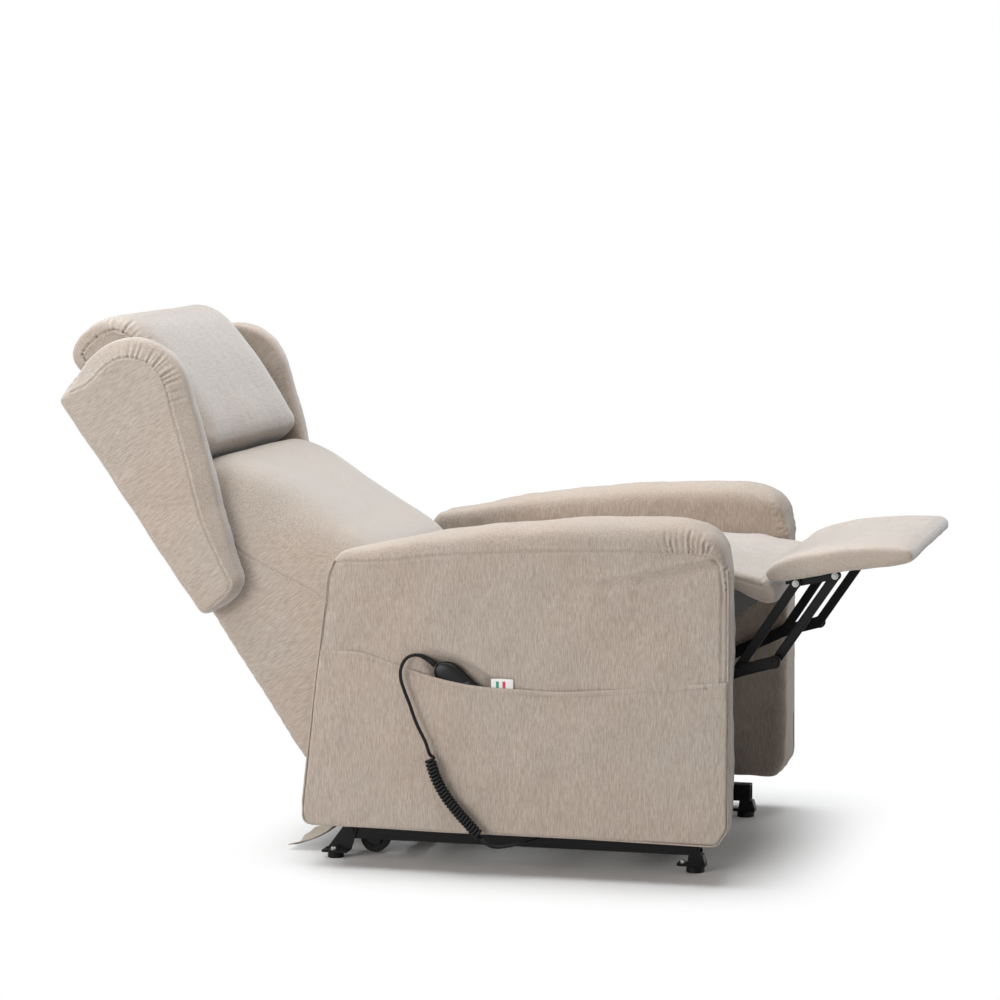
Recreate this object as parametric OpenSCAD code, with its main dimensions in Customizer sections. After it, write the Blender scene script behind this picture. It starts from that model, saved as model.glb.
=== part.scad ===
// Lift recliner chair. The seat faces -Y, +Z is up, and the sitter's right hand is at -X.
// The origin is on the floor under the middle of the chair, drawn reclined with its footrest out.

/* [Overall] */
// Width over both arms
chair_w = 750; // [700:10:820]
// Width of the seat between the arms
seat_w = 530; // [500:10:560]
// Thickness of the sheet-metal links and plates
plate_t = 4; // [3:0.5:5]
// Air left between neighbouring parts
gap = 0.3; // [0.2:0.05:0.5]
// Radial play of a pin in its bore
play = 0.05; // [0.02:0.01:0.1]

/* [Base frame] */
// Length of the floor rails
base_l = 620; // [560:10:680]
// Distance of the rails' rear end behind the origin
base_rear = 238; // [200:2:260]
// Height of the rail tube
rail_h = 30; // [25:1:35]
// Width of the rail tube
rail_w = 25; // [20:1:28]
// Wall of the floor tubes
rail_wall = 2; // [1.5:0.5:3]
// Floor to the underside of the rails
rail_z = 30; // [26:1:32]
// Diameter of a rubber foot
glide_d = 31; // [26:1:36]
// Height of a rubber foot
glide_h = 10; // [6:1:14]

/* [Transport wheels] */
// Diameter of a transport wheel
wheel_d = 50; // [40:1:52]
// Width of a transport wheel
wheel_w = 18; // [14:1:20]
// Gap under a wheel while the chair stands on its feet
wheel_lift = 2; // [1:0.5:5]
// Axle radius
axle_r = 4; // [3:0.5:5]

/* [Lift linkage] */
// Radius of the lift pivots' pins
lift_pin_r = 8; // [6:0.5:9]
// Width of a lift arm
lift_arm_w = 36; // [30:1:42]
// Diameter of the tube that joins the lift arms
torque_d = 34; // [28:1:38]
// Width of a front guide link
guide_w = 24; // [20:1:28]

/* [Actuators] */
// Diameter of an actuator's outer tube
ram_d = 36; // [32:1:40]
// Diameter of an actuator's steel rod
rod_d = 20; // [16:1:22]
// Radius of an actuator's rear pin
ram_pin_r = 6; // [5:0.5:8]
// Distance of the side rams from the middle plane
ram_x = 80; // [70:1:100]

/* [Seat] */
// Height of the seat's crown at its middle
seat_top = 524; // [510:1:540]
// Depth of the rail under the seat's front edge
front_rail_h = 57; // [50:1:62]
// Thickness of the wooden rails
wood_t = 22; // [18:1:24]
// Number of zigzag springs under the seat
spring_count = 5; // [3:1:6]
// Number of bends along one spring
spring_bends = 12; // [8:2:16]
// Wire thickness of a seat spring
spring_wire = 4; // [3:0.5:5]

/* [Arms] */
// Height of the arm's crest
arm_top = 606; // [590:1:625]
// Floor to the arm's underside
arm_bottom = 72; // [66:1:80]
// Thickness of the wooden panel in an arm
arm_panel_t = 40; // [30:1:50]
// How far the pocket's face stands off the arm
pocket_out = 8; // [7:0.5:9]
// Thickness of the pocket's fabric
pocket_t = 2; // [1.5:0.5:2.5]

/* [Backrest] */
// Angle of the back above the horizontal
back_angle = 56; // [50:1:60]
// Distance of the back's sides from the arms
back_clear = 8; // [7:0.2:12]
// Length of the back along its rear face
back_l = 744; // [720:4:756]
// Fullness of the lumbar cushion at its middle
back_crown = 296; // [280:1:300]
// Thickness of a wing
wing_t = 52; // [44:1:54]

/* [Footrest] */
// Width of the footrest
foot_w = 526; // [490:2:528]
// Length of the footrest board
foot_board_l = 212; // [190:2:216]
// Thickness of the footrest board
foot_board_t = 8.5; // [7:0.5:8.5]
// Tilt of the footrest above the horizontal
foot_tilt = 9.3; // [7:0.1:12]
// Width of a leg link
leg_link_w = 17; // [15:1:19]
// Radius of the leg linkage's rivets
rivet_r = 5; // [4:0.5:6]

/* [Handset and cord] */
// Length of the handset
handset_l = 150; // [130:2:160]
// Width of the handset
handset_w = 44; // [38:1:48]
// Thickness of the handset
handset_t = 20; // [16:1:20]
// Slope of the handset below the horizontal
handset_tilt = 35; // [30:1:40]
// Travel of a handset button
button_travel = 1; // [0.5:0.1:1.2]
// Diameter of the cord
cord_d = 5; // [4:0.5:6]
// Outer diameter of the curled part
curl_d = 17.5; // [16:0.5:18]
// Number of curls
curl_turns = 28; // [20:1:28]

/* [Hidden] */
$fn = 48;

fabric = [0.76, 0.70, 0.63];
lining = [0.88, 0.87, 0.84];
steel = [0.12, 0.12, 0.13];
zinc = [0.74, 0.75, 0.76];
timber = [0.78, 0.64, 0.45];
rubber = [0.07, 0.07, 0.07];
plastic = [0.09, 0.09, 0.10];

// Pivots, as [y, z].
lift_pivot = [-220, 64];
chassis_pivot = [230, 120];
guide_pivot = [-330, 80];
guide_end = [58, 180];
lift_ram_pivot = [150, 92];
lift_ram_end = lift_pivot + [10, 98];
recline_pivot = [248, 290];
recline_ram_pivot = [-180, 190];
recline_ram_end = recline_pivot + [-40, -120];
leg_pivot = [-315, 284];
knee_pivot = [-440, 344];
shin_pivot = [-504, 362];
foot_pivot = [-538, 494];
toe_pivot = [-603, 508];
leg_ram_pivot = [60, 230];
leg_ram_end = leg_pivot + [-21, -36];
flap_pivot = [-438, 489];

// Planes across the chair, as distances from the middle plane.
arm_in = seat_w / 2;
arm_out = chair_w / 2;
back_w = seat_w - 2 * back_clear;
plate_out = arm_in - gap;
plate_in = plate_out - plate_t;
rail_out = 260;
rail_in = rail_out - rail_w;
lift_arm_x = [204, 204 + plate_t + 2];
bracket_x = [214, 220];
guide_x = [221, 221 + plate_t];
web_x = [236, 236 + plate_t];
shin_x = [230, 230 + plate_t];
calf_x = [244.5, 244.5 + plate_t];
thigh_x = [249.2, 249.2 + plate_t];
ear_x = [10, 15];

base_front = base_rear - base_l;
rail_top = rail_z + rail_h;
wheel_c = [194, wheel_d / 2 + wheel_lift];
wheel_x = rail_in - 1 - wheel_w;
front_tube_y = -345;
rear_tube_y = 115;
chassis_tube = 30;
chassis_front_c = [-235, 192];
chassis_rear_c = [95, 246];
seat_rail_z = 405;
seat_rail_top = 445;
front_rail_y = -434;
front_rail_top = 487;
foot_board_z = 9.2;
seat_rear_rail_y = 56;
back_o = [309, 163];
back_frame_n = [4 + gap, 44];
head_s = 538;
pocket_x = arm_out + pocket_out;
handset_o = [46, 354];
handset_x = pocket_x - pocket_t - 2 - handset_t;
button_d = 9;
button_h = 3;
cord_x = -(pocket_x + curl_d / 2 + 0.8);

// Side outlines, as [y, z] or, on the backrest, [distance up the back, distance in front of it].
arm_outline = [
  [-440, arm_bottom], [-200, arm_bottom], [40, arm_bottom], [284, arm_bottom], [282, 110],
  [258, 320], [239, 458], [235, 500], [222, 538], [155, 551], [60, 571], [-40, 586],
  [-166, arm_top - 6], [-290, arm_top], [-366, arm_top], [-397, arm_top - 8],
  [-420, arm_top - 22], [-434, arm_top - 44], [-441, arm_top - 78], [-441, 300]];
pocket_outline = [
  [-439, 73], [280, 73], [258, 290], [250, 372], [180, 372], [110, 352], [40, 333], [-20, 323],
  [-100, 319], [-170, 318], [-240, 323], [-330, 331], [-440, 344]];
plate_outline = [
  [-342, 262], [-342, 306], [-240, 438], [76, 438], [150, 340], [236, 316], [262, 304],
  [264, 276], [262, 130], [256, 98], [214, 98], [120, 150], [-150, 160], [-225, 165],
  [-264, 182], [-300, 255]];
seat_outline = [
  [-436, 489], [-412, 488], [-408, 463], [-394, 452], [-170, 451.5], [60, 451.5], [80, 463], [86, 492],
  [60, 512], [-100, 523], [-300, seat_top], [-400, 520], [-432, 510]];
// The flap's outline runs from its pivot.
flap_outline = [
  [-0.5, 11], [-2, 23], [-22, 19], [-43, 10], [-57, -3], [-62, -15], [-57, -24], [-43, -18],
  [-22, -7], [-2, 0]];
pad_mid = [
  [42, 19], [44, 27], [34, 38], [6, 47], [-48, 51], [-110, 48], [-170, 40], [-197, 29],
  [-198, 19], [-180, 18], [-60, 18], [36, 18.2]];
pad_side = [
  [35, 21], [36, 26], [28, 31], [4, 38], [-48, 41], [-110, 39], [-168, 33], [-188, 27],
  [-190, 22], [-176, 20], [-60, 19.5], [28, 20]];
back_mid = [
  [46, 62], [64, 46], [270, 46], [508, 46], [526, 58], [531, 90], [526, 140], [485, 192], [420, 236], [330, 282],
  [235, back_crown], [150, 286], [90, 240], [50, 130]];
back_side = [
  [10, 58], [26, 46], [270, 46], [506, 46], [522, 52], [528, 66], [516, 82], [470, 88], [420, 92], [360, 104],
  [222, 184], [150, 190], [84, 150], [24, 90]];
head_outline = [
  [head_s, 62], [640, 45], [760, 45], [824, 62], [842, 108], [830, 146], [784, 170],
  [700, 184], [620, 180], [564, 160], [head_s + 4, 130], [head_s - 1, 95]];
wing_outline = [
  [314, 6], [450, 4], [600, 2], [748, 0], [770, 42], [778, 103], [763, 170], [722, 209],
  [688, 217], [623, 203], [529, 170], [439, 140], [374, 122], [327, 102], [304, 80], [297, 36]];
valance_outline = [
  [252, 110], [256, 60], [266, 42], [300, 20], [346, 5], [349, 8], [302, 25], [270, 46],
  [260, 62], [256, 110]];

// Cord routes, as [x, y, z].
lead_route = [
  [-372.5, 51, 357.5], [-374, 60, 364], [-380, 74, 373], [-387, 89, 369], [-390, 97, 350],
  [-392, 98, 325], [-392.5, 95, 298], [-392.5, 88, 270], [-392.5, 77, 244], [-392.5, 65, 224],
  [-392.5, 54, 209]];
curl_route = [
  [cord_x, 54, 209], [cord_x, 34, 174], [cord_x, 14, 140], [cord_x, -11, 102],
  [cord_x, -44, 62]];
tail_route = [
  [-392.5, -44, 62], [-391, -56, 54], [-388, -72, 48], [-382, -88, 46], [-372, -104, 48],
  [-360, -117, 54], [-351, -125, 62], [-347, -128, 70.2]];

function unit(v) = v / max(norm(v), 0.000001);
function flat_normal(o, i) =
  let (a = o[(i + len(o) - 1) % len(o)], b = o[(i + 1) % len(o)], t = unit(b - a))
  [t[1], -t[0]];
// The outline drawn in by d, point by point.
function drawn_in(o, d) = [for (i = [0 : len(o) - 1]) o[i] - d * flat_normal(o, i)];
// A closed outline rounded through its own points, k steps to each side.
function rounded(o, k) = [
  for (i = [0 : len(o) - 1], j = [0 : k - 1])
    let (n = len(o), t = j / k,
         a = o[(i + n - 1) % n], b = o[i], c = o[(i + 1) % n], d = o[(i + 2) % n])
    0.5 * (2 * b + t * (c - a) + t * t * (2 * a - 5 * b + 4 * c - d)
           + t * t * t * (3 * b - a - 3 * c + d))];
// A point at share t along an open route, on a smooth curve through its points.
function route_point(p, t) =
  let (n = len(p) - 1, s = min(t * n, n - 0.000001), i = floor(s), f = s - i,
       b = p[i], c = p[i + 1], a = i > 0 ? p[i - 1] : 2 * b - c,
       d = i + 2 <= n ? p[i + 2] : 2 * c - b)
  0.5 * (2 * b + f * (c - a) + f * f * (2 * a - 5 * b + 4 * c - d)
         + f * f * f * (3 * b - a - 3 * c + d));
function route_dir(p, t) = unit(route_point(p, min(t + 0.002, 1)) - route_point(p, max(t - 0.002, 0)));

// Mirrors a right-hand piece, drawn at +X, to the side asked for.
module on_side(side) { if (side < 0) mirror([1, 0, 0]) children(); else children(); }
module both_sides() { for (side = [-1, 1]) on_side(side) children(); }
// Extrudes a side view, drawn in [y, z], from x0 to x1.
module along_x(x0, x1) {
  translate([x0, 0, 0]) rotate([90, 0, 90]) linear_extrude(x1 - x0) children();
}
module rod_x(p, r, x0, x1) { along_x(x0, x1) translate(p) circle(r); }
// A bar between two pivots, with round ends that are a little wider than its neck.
module bar_2d(a, b, w) {
  d = b - a;
  neck = 0.93 * w;
  translate(a) circle(w / 2);
  translate(b) circle(w / 2);
  translate(a) rotate(atan2(d[1], d[0])) translate([0, -neck / 2]) square([norm(d), neck]);
}
module box_tube(x0, x1, y0, z0, w, h) {
  difference() {
    translate([x0, y0, z0]) cube([x1 - x0, w, h]);
    translate([x0 - 1, y0 + rail_wall, z0 + rail_wall])
      cube([x1 - x0 + 2, w - 2 * rail_wall, h - 2 * rail_wall]);
  }
}
module in_back() { translate([0, back_o[0], back_o[1]]) rotate([back_angle, 0, 0]) children(); }
module in_footrest() {
  translate([0, foot_pivot[0], foot_pivot[1]]) rotate([-foot_tilt, 0, 0]) children();
}
// A padded form: its middle outline shrinks to its side outline along a crowned curve.
module padded(mid, side, half_w, fullness, steps = 10) {
  m = len(mid);
  angles = [for (j = [0 : steps]) -90 + 180 * j / steps];
  rings = [for (a = angles)
    let (f = pow(max(cos(a), 0), fullness))
    [for (i = [0 : m - 1]) let (p = side[i] + f * (mid[i] - side[i])) [half_w * sin(a), p[0], p[1]]]];
  centre = [for (c = [0, 1]) let (all = [for (p = side) p[c]]) all * [for (p = side) 1] / m];
  points = concat([for (r = rings) each r],
                  [[-half_w, centre[0], centre[1]], [half_w, centre[0], centre[1]]]);
  last = steps * m;
  faces = concat(
    [for (j = [0 : steps - 1], i = [0 : m - 1])
      let (a = j * m + i, b = j * m + (i + 1) % m) each [[a, a + m, b + m], [a, b + m, b]]],
    [for (i = [0 : m - 1]) [len(points) - 2, i, (i + 1) % m]],
    [for (i = [0 : m - 1]) [len(points) - 1, last + (i + 1) % m, last + i]]);
  polyhedron(points, faces);
}
// A tube swept along a list of points; up gives the side its first corner points to.
function tube_ring(c, dir, r, sides) =
  let (u = unit(cross(dir, [0.9, 0.1, 0.43])), v = cross(dir, u))
  [for (k = [0 : sides - 1]) c + r * cos(360 * k / sides) * u + r * sin(360 * k / sides) * v];
module tube_along(centres, dirs, r, sides) {
  n = len(centres);
  points = concat([for (i = [0 : n - 1]) each tube_ring(centres[i], dirs[i], r, sides)],
                  [centres[0], centres[n - 1]]);
  faces = concat(
    [for (i = [0 : n - 2], k = [0 : sides - 1])
      let (a = i * sides + k, b = i * sides + (k + 1) % sides)
      each [[a, a + sides, b + sides], [a, b + sides, b]]],
    [for (k = [0 : sides - 1]) [n * sides, k, (k + 1) % sides]],
    [for (k = [0 : sides - 1])
      [n * sides + 1, (n - 1) * sides + (k + 1) % sides, (n - 1) * sides + k]]);
  polyhedron(points, faces);
}
module cord_run(route, rings) {
  shares = [for (i = [0 : rings - 1]) i / (rings - 1)];
  tube_along([for (t = shares) route_point(route, t)], [for (t = shares) route_dir(route, t)],
             cord_d / 2, 8);
}

// Base frame
module base_rail(side) {
  color(steel) on_side(side) difference() {
    translate([rail_in, base_front, rail_z]) cube([rail_w, base_l, rail_h]);
    translate([rail_in + rail_wall, base_front - 1, rail_z + rail_wall])
      cube([rail_w - 2 * rail_wall, base_l + 2, rail_h - 2 * rail_wall]);
  }
}
module base_cross_tubes() {
  color(steel) for (y = [front_tube_y, rear_tube_y])
    box_tube(-rail_in, rail_in, y, rail_z, rail_h, rail_h);
}
module base_feet() {
  color(steel) both_sides() {
    // Front leg: a flat bar that steps down to its pad.
    along_x(rail_in + 2, rail_out - 2) polygon([
      [base_front - 8, glide_h], [base_front + 40, glide_h], [base_front + 40, glide_h + 5],
      [base_front + 22, glide_h + 5], [base_front + 20, rail_z], [base_front - 4, rail_z],
      [base_front - 8, glide_h + 6]]);
    // Rear leg: a tapered bracket outside the rail.
    along_x(rail_out, rail_out + plate_t) polygon([
      [214, rail_z + 26], [238, rail_z + 26], [272, glide_h], [228, glide_h]]);
    translate([rail_out, 228, glide_h]) cube([32, 44, plate_t]);
    // Plate that holds the wheel's axle.
    along_x(rail_in, rail_in + plate_t) translate([wheel_c[0], 0])
      polygon([[-16, rail_z], [-9, 18], [9, 18], [16, rail_z]]);
  }
}
module foot_glides() {
  color(rubber) both_sides() {
    translate([(rail_in + rail_out) / 2, base_front + 10, 0]) cylinder(d = glide_d, h = glide_h);
    translate([rail_out + 17, 251, 0]) cylinder(d = glide_d - 3, h = glide_h);
  }
}
module base_bolts() {
  color(zinc) both_sides() {
    rod_x([base_front + 8, rail_z + 13], 6.5, rail_out, rail_out + 5);
    rod_x([226, rail_z + 16], 6.5, rail_out + plate_t, rail_out + plate_t + 5);
    translate([(rail_in + rail_out) / 2, base_front + 31, glide_h + 5]) cylinder(r = 5, h = 4);
    translate([rail_out + 20, 254, glide_h + plate_t]) cylinder(r = 5, h = 4);
  }
}
module lift_brackets() {
  color(steel) {
    both_sides() {
      difference() {
        union() {
          along_x(bracket_x[0], bracket_x[1]) {
            translate(lift_pivot) circle(16);
            translate([lift_pivot[0] - 16, rail_z + 4]) square([32, lift_pivot[1] - rail_z - 4]);
          }
          translate([bracket_x[1], lift_pivot[0] - 16, rail_z + 4])
            cube([rail_in - bracket_x[1], 32, 14]);
        }
        rod_x(lift_pivot, lift_pin_r + play, bracket_x[0] - 1, bracket_x[1] + 1);
      }
      // Upright that carries a guide link, with its pin.
      along_x(bracket_x[0], bracket_x[1]) {
        translate(guide_pivot) circle(12);
        translate([guide_pivot[0] - 12, rail_top]) square([24, guide_pivot[1] - rail_top]);
      }
      rod_x(guide_pivot, ram_pin_r, bracket_x[1], guide_x[1] + 4);
      // Ear that carries the lift actuator.
      along_x(ear_x[0], ear_x[1]) {
        translate(lift_ram_pivot) circle(13);
        polygon([[rear_tube_y, rail_top], [rear_tube_y + rail_h, rail_top],
                 lift_ram_pivot + [12, -4], lift_ram_pivot + [-6, 11]]);
      }
    }
    rod_x(lift_ram_pivot, ram_pin_r, -ear_x[1] - 3, ear_x[1] + 3);
  }
}
module wheel(side) {
  color(plastic) on_side(side) difference() {
    union() {
      rod_x(wheel_c, wheel_d / 2 - 1.5, wheel_x, wheel_x + wheel_w);
      rod_x(wheel_c, wheel_d / 2, wheel_x + 1.5, wheel_x + wheel_w - 1.5);
    }
    rod_x(wheel_c, axle_r + play, wheel_x - 1, wheel_x + wheel_w + 1);
    // Dished hub on the outer face, round a boss.
    difference() {
      rod_x(wheel_c, 15, wheel_x + wheel_w - 5, wheel_x + wheel_w + 1);
      rod_x(wheel_c, 8, wheel_x + wheel_w - 6, wheel_x + wheel_w + 2);
    }
  }
}
module wheel_axles() {
  color(zinc) both_sides() {
    rod_x(wheel_c, axle_r, wheel_x - gap, rail_in);
    rod_x(wheel_c, axle_r + 3, wheel_x - gap - 4, wheel_x - gap);
  }
}

// Lift linkage
module lift_torque_tube() {
  color(steel) {
    rod_x(lift_pivot, torque_d / 2, -lift_arm_x[0], lift_arm_x[0]);
    // Crank that the lift actuator pushes.
    along_x(-3, 3) bar_2d(lift_pivot, lift_ram_end, 24);
    // Stub shafts that turn in the base brackets.
    both_sides() rod_x(lift_pivot, lift_pin_r, lift_arm_x[0], bracket_x[1] + 3);
  }
}
module lift_arms() {
  color(steel) both_sides() {
    difference() {
      along_x(lift_arm_x[0], lift_arm_x[1]) bar_2d(lift_pivot, chassis_pivot, lift_arm_w);
      rod_x(lift_pivot, lift_pin_r + play, lift_arm_x[0] - 1, lift_arm_x[1] + 1);
    }
    rod_x(chassis_pivot, lift_pin_r, lift_arm_x[1], plate_out);
  }
}
module front_links() {
  color(steel) both_sides() difference() {
    along_x(guide_x[0], guide_x[1]) bar_2d(guide_pivot, guide_end, guide_w);
    rod_x(guide_pivot, ram_pin_r + play, guide_x[0] - 1, guide_x[1] + 1);
  }
}

// A linear actuator along local +Y from its rear pin. Its motor lies beside the gearbox.
ram_tube_end = 280;
ram_bore_from = 112;
rod_from = 190;
fork = 40;
module ram_housing(pivot, end, motor_side) {
  color(plastic) translate([0, pivot[0], pivot[1]])
    rotate([atan2(end[1] - pivot[1], end[0] - pivot[0]), 0, 0]) difference() {
      union() {
        rod_x([0, 0], 12, -ear_x[0] + gap, ear_x[0] - gap);
        translate([-ear_x[0] + gap, 0, -10]) cube([2 * (ear_x[0] - gap), 30, 20]);
        translate([-22, 27, -24]) cube([44, 59, 48]);
        translate([0, 80, 0]) rotate([-90, 0, 0]) cylinder(d = ram_d, h = ram_tube_end - 80);
        on_side(motor_side) rod_x([55, 0], 21, 20, 104);
      }
      rod_x([0, 0], ram_pin_r + play, -30, 30);
      translate([0, ram_bore_from, 0]) rotate([-90, 0, 0])
        cylinder(d = rod_d + 2 * play, h = ram_tube_end - ram_bore_from + 1);
    }
}
module ram_rod(pivot, end) {
  reach = norm(end - pivot);
  color(zinc) translate([0, pivot[0], pivot[1]])
    rotate([atan2(end[1] - pivot[1], end[0] - pivot[0]), 0, 0]) {
      translate([0, rod_from, 0]) rotate([-90, 0, 0]) cylinder(d = rod_d, h = reach - fork - rod_from);
      translate([-9.5, reach - fork - 6, -10]) cube([19, 8, 20]);
      both_sides() along_x(3.5, 9.5) {
        translate([reach - fork, -10]) square([fork, 20]);
        translate([reach, 0]) circle(10);
      }
      both_sides() rod_x([reach, 0], 7, 9.5, 13);
    }
}

// Chassis
module chassis_plate(side) {
  color(steel) on_side(side) {
    difference() {
      along_x(plate_in, plate_out) polygon(plate_outline);
      rod_x(leg_pivot, lift_pin_r + play, plate_in - 1, plate_out + 1);
      rod_x(recline_pivot, lift_pin_r + play, plate_in - 1, plate_out + 1);
      rod_x(chassis_pivot, lift_pin_r + play, plate_in - 1, plate_out + 1);
    }
    // Boss beside the guide link's open end.
    rod_x(guide_end, 11, guide_x[1] + 2 * gap, plate_in);
  }
}
module chassis_tube_at(c) {
  box_tube(-plate_in, plate_in, c[0] - chassis_tube / 2, c[1] - chassis_tube / 2,
           chassis_tube, chassis_tube);
}
module ram_ears(x, c, pivot, foot) {
  translate([x, 0, 0]) {
    both_sides() along_x(ear_x[0], ear_x[1]) {
      translate(pivot) circle(11);
      polygon([c + foot[0], c + foot[1], pivot + foot[2], pivot + foot[3]]);
    }
    rod_x(pivot, ram_pin_r, -ear_x[1] - 2, ear_x[1] + 2);
  }
}
module chassis_front_tube() {
  t = chassis_tube / 2;
  color(steel) {
    chassis_tube_at(chassis_front_c);
    ram_ears(-ram_x, chassis_front_c, recline_ram_pivot, [[t, t], [t, -t], [0, -11], [0, 11]]);
  }
}
module chassis_rear_tube() {
  t = chassis_tube / 2;
  color(steel) {
    chassis_tube_at(chassis_rear_c);
    ram_ears(ram_x, chassis_rear_c, leg_ram_pivot, [[-t, -t], [-t, t], [0, 11], [0, -11]]);
  }
}
module seat_side_rails() {
  color(timber) both_sides()
    translate([plate_in - wood_t, front_rail_y + wood_t + gap, seat_rail_z])
      cube([wood_t - gap, seat_rear_rail_y + wood_t - front_rail_y - wood_t - gap,
            seat_rail_top - seat_rail_z]);
}
module seat_front_rail() {
  w = 2 * (arm_in - 7);
  r = 14;
  color(fabric) translate([0, front_rail_y + wood_t, 0]) rotate([90, 0, 0])
    linear_extrude(wood_t) {
      translate([-w / 2, front_rail_top - front_rail_h + r]) square([w, front_rail_h - r]);
      translate([-w / 2 + r, front_rail_top - front_rail_h]) square([w - 2 * r, front_rail_h]);
      for (x = [-1, 1]) translate([x * (w / 2 - r), front_rail_top - front_rail_h + r]) circle(r);
    }
}
module seat_rear_rail() {
  half = plate_in - wood_t - gap;
  color(timber) translate([-half, seat_rear_rail_y, seat_rail_z])
    cube([2 * half, wood_t, seat_rail_top - seat_rail_z]);
}
module seat_springs() {
  y0 = front_rail_y + wood_t + gap;
  pitch = (seat_rear_rail_y + wood_t - y0 - spring_wire) / spring_bends;
  reach = 26;
  spacing = 2 * (plate_in - wood_t) / (spring_count + 0.4);
  color(zinc) for (i = [0 : spring_count - 1])
    translate([(i - (spring_count - 1) / 2) * spacing, y0, seat_rail_top + gap])
      linear_extrude(spring_wire) {
        for (j = [0 : spring_bends]) translate([-reach / 2, j * pitch]) square([reach, spring_wire]);
        for (j = [0 : spring_bends - 1]) translate([(j % 2 == 0 ? 1 : -1) * reach / 2,
                                                    (j + 0.5) * pitch + spring_wire / 2])
          difference() {
            circle((pitch + spring_wire) / 2);
            circle((pitch - spring_wire) / 2);
            translate([j % 2 == 0 ? -pitch : 0, -pitch]) square([pitch, 2 * pitch]);
          }
      }
}
module seat_cushion() {
  o = rounded(seat_outline, 2);
  color(fabric) padded(o, drawn_in(o, 9), arm_in - 2, 0.45, 12);
}
module arm_panel_2d(d) {
  polygon([[-400 - d, arm_bottom + 8 - d], [240 + d, arm_bottom + 8 - d], [204 + d, 480 + d],
           [-400 - d, arm_top - 66 + d]]);
}
module arm_panels() {
  mid = (arm_in + arm_out) / 2;
  color(timber) both_sides() along_x(mid - arm_panel_t / 2, mid + arm_panel_t / 2)
    difference() {
      arm_panel_2d(0);
      for (y = [-320, -170, -20, 130], z = [190, 350]) translate([y - z / 10, z]) circle(55);
    }
}
module arm_cover(side) {
  mid = (arm_in + arm_out) / 2;
  r = 10;
  color(fabric) difference() {
    on_side(side) difference() {
      translate([mid, 0, 0]) padded(arm_outline, drawn_in(arm_outline, r), mid - arm_in, 0.32, 12);
      along_x(mid - arm_panel_t / 2 - gap, mid + arm_panel_t / 2 + gap) arm_panel_2d(gap);
    }
    if (side < 0) handset_room();
  }
}
module side_pocket() {
  color(fabric) difference() {
    along_x(-pocket_x, -arm_out - gap) polygon(pocket_outline);
    // Room for a hand or the handset behind the face.
    translate([-pocket_x + pocket_t, -252, 128]) cube([40, 342, 260]);
    handset_room();
  }
}
module label_tag() {
  color(lining) translate([-pocket_x - 1, -89, 312]) cube([1 - gap / 2, 38, 22]);
}
module control_box() {
  y0 = chassis_front_c[0] + chassis_tube / 2 + gap;
  color(plastic) difference() {
    translate([-225, y0, 166]) cube([110, 60, 40]);
    // Mains inlet in its rear face.
    translate([-190, y0 + 42, 176]) cube([28, 40, 20]);
  }
}
module rear_valance() {
  hem = 242;
  top = plate_in - gap;
  color(fabric) {
    along_x(-hem, hem) polygon(valance_outline);
    // Its upper edge is held between the chassis plates.
    along_x(-top, top) polygon([[252, 108], [256, 108], [256, 138], [252, 138]]);
  }
}

// Handset. Local -Y runs from its cord end to its tip, and its face is at local x = 0.
module in_handset() {
  translate([-(handset_x + handset_t), handset_o[0], handset_o[1]]) rotate([handset_tilt, 0, 0])
    children();
}
// Space round the handset, and above it for its relief.
module handset_room() {
  in_handset() translate([-2 * gap, -handset_l - 4, -handset_w / 2 - 3])
    cube([handset_t + 4 * gap, handset_l + 40, handset_w + 6]);
}
function button_at(i) = [-62 - 20 * floor(i / 2), (i % 2 == 0 ? 8 : -8)];
module handset_shell() {
  r = 9;
  color(plastic) in_handset() difference() {
    along_x(0, handset_t) {
      translate([-handset_l + handset_w / 2, 0]) circle(handset_w / 2);
      translate([-handset_l + handset_w / 2, -handset_w / 2])
        square([handset_l - handset_w / 2 - r, handset_w]);
      translate([-r - 1, -handset_w / 2 + r]) square([r + 1, handset_w - 2 * r]);
      for (z = [-1, 1]) translate([-r, z * (handset_w / 2 - r)]) circle(r);
    }
    for (i = [0 : 3]) rod_x(button_at(i), button_d / 2 + 0.2, -1, button_h + button_travel + 0.5);
  }
}
module button(i) {
  color(lining) in_handset() rod_x(button_at(i), button_d / 2, -1.4, button_h);
}
module cord_glands() {
  color(rubber) {
    // Tapered relief on the handset's end.
    in_handset() translate([6.5, 0, 0]) rotate([-90, 0, 0]) cylinder(r1 = 6, r2 = 3.6, h = 9);
    // Grommet under the right arm.
    translate([-347, -128, arm_bottom - 2.2]) cylinder(r = 6, h = 2);
  }
}
module cord_lead() { color(rubber) cord_run(lead_route, 28); }
module cord_tail() { color(rubber) cord_run(tail_route, 16); }
curl_steps = 8 * curl_turns;
function curl_point(i) =
  let (t = i / curl_steps, c = route_point(curl_route, t), dir = route_dir(curl_route, t),
       u = [1, 0, 0], v = unit(cross(dir, u)), r = (curl_d - cord_d) / 2, a = 45 * i)
  c + r * cos(a) * u + r * sin(a) * v;
curl_centres = [for (i = [0 : curl_steps]) curl_point(i)];
curl_gap = min([for (i = [0 : 4 : curl_steps - 12], j = [5 : 12])
  norm(curl_centres[i] - curl_centres[i + j])]) - cord_d;
echo(curl_gap = curl_gap);
module cord_curl() {
  n = len(curl_centres) - 1;
  dirs = [for (i = [0 : n]) unit(curl_centres[min(i + 1, n)] - curl_centres[max(i - 1, 0)])];
  color(rubber) tube_along(curl_centres, dirs, cord_d / 2, 6);
}

// Backrest
module back_side_rails() {
  color(timber) in_back() both_sides()
    translate([back_w / 2 - wood_t, 6, back_frame_n[0]])
      cube([wood_t, back_l - 12, back_frame_n[1] - back_frame_n[0]]);
}
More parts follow.
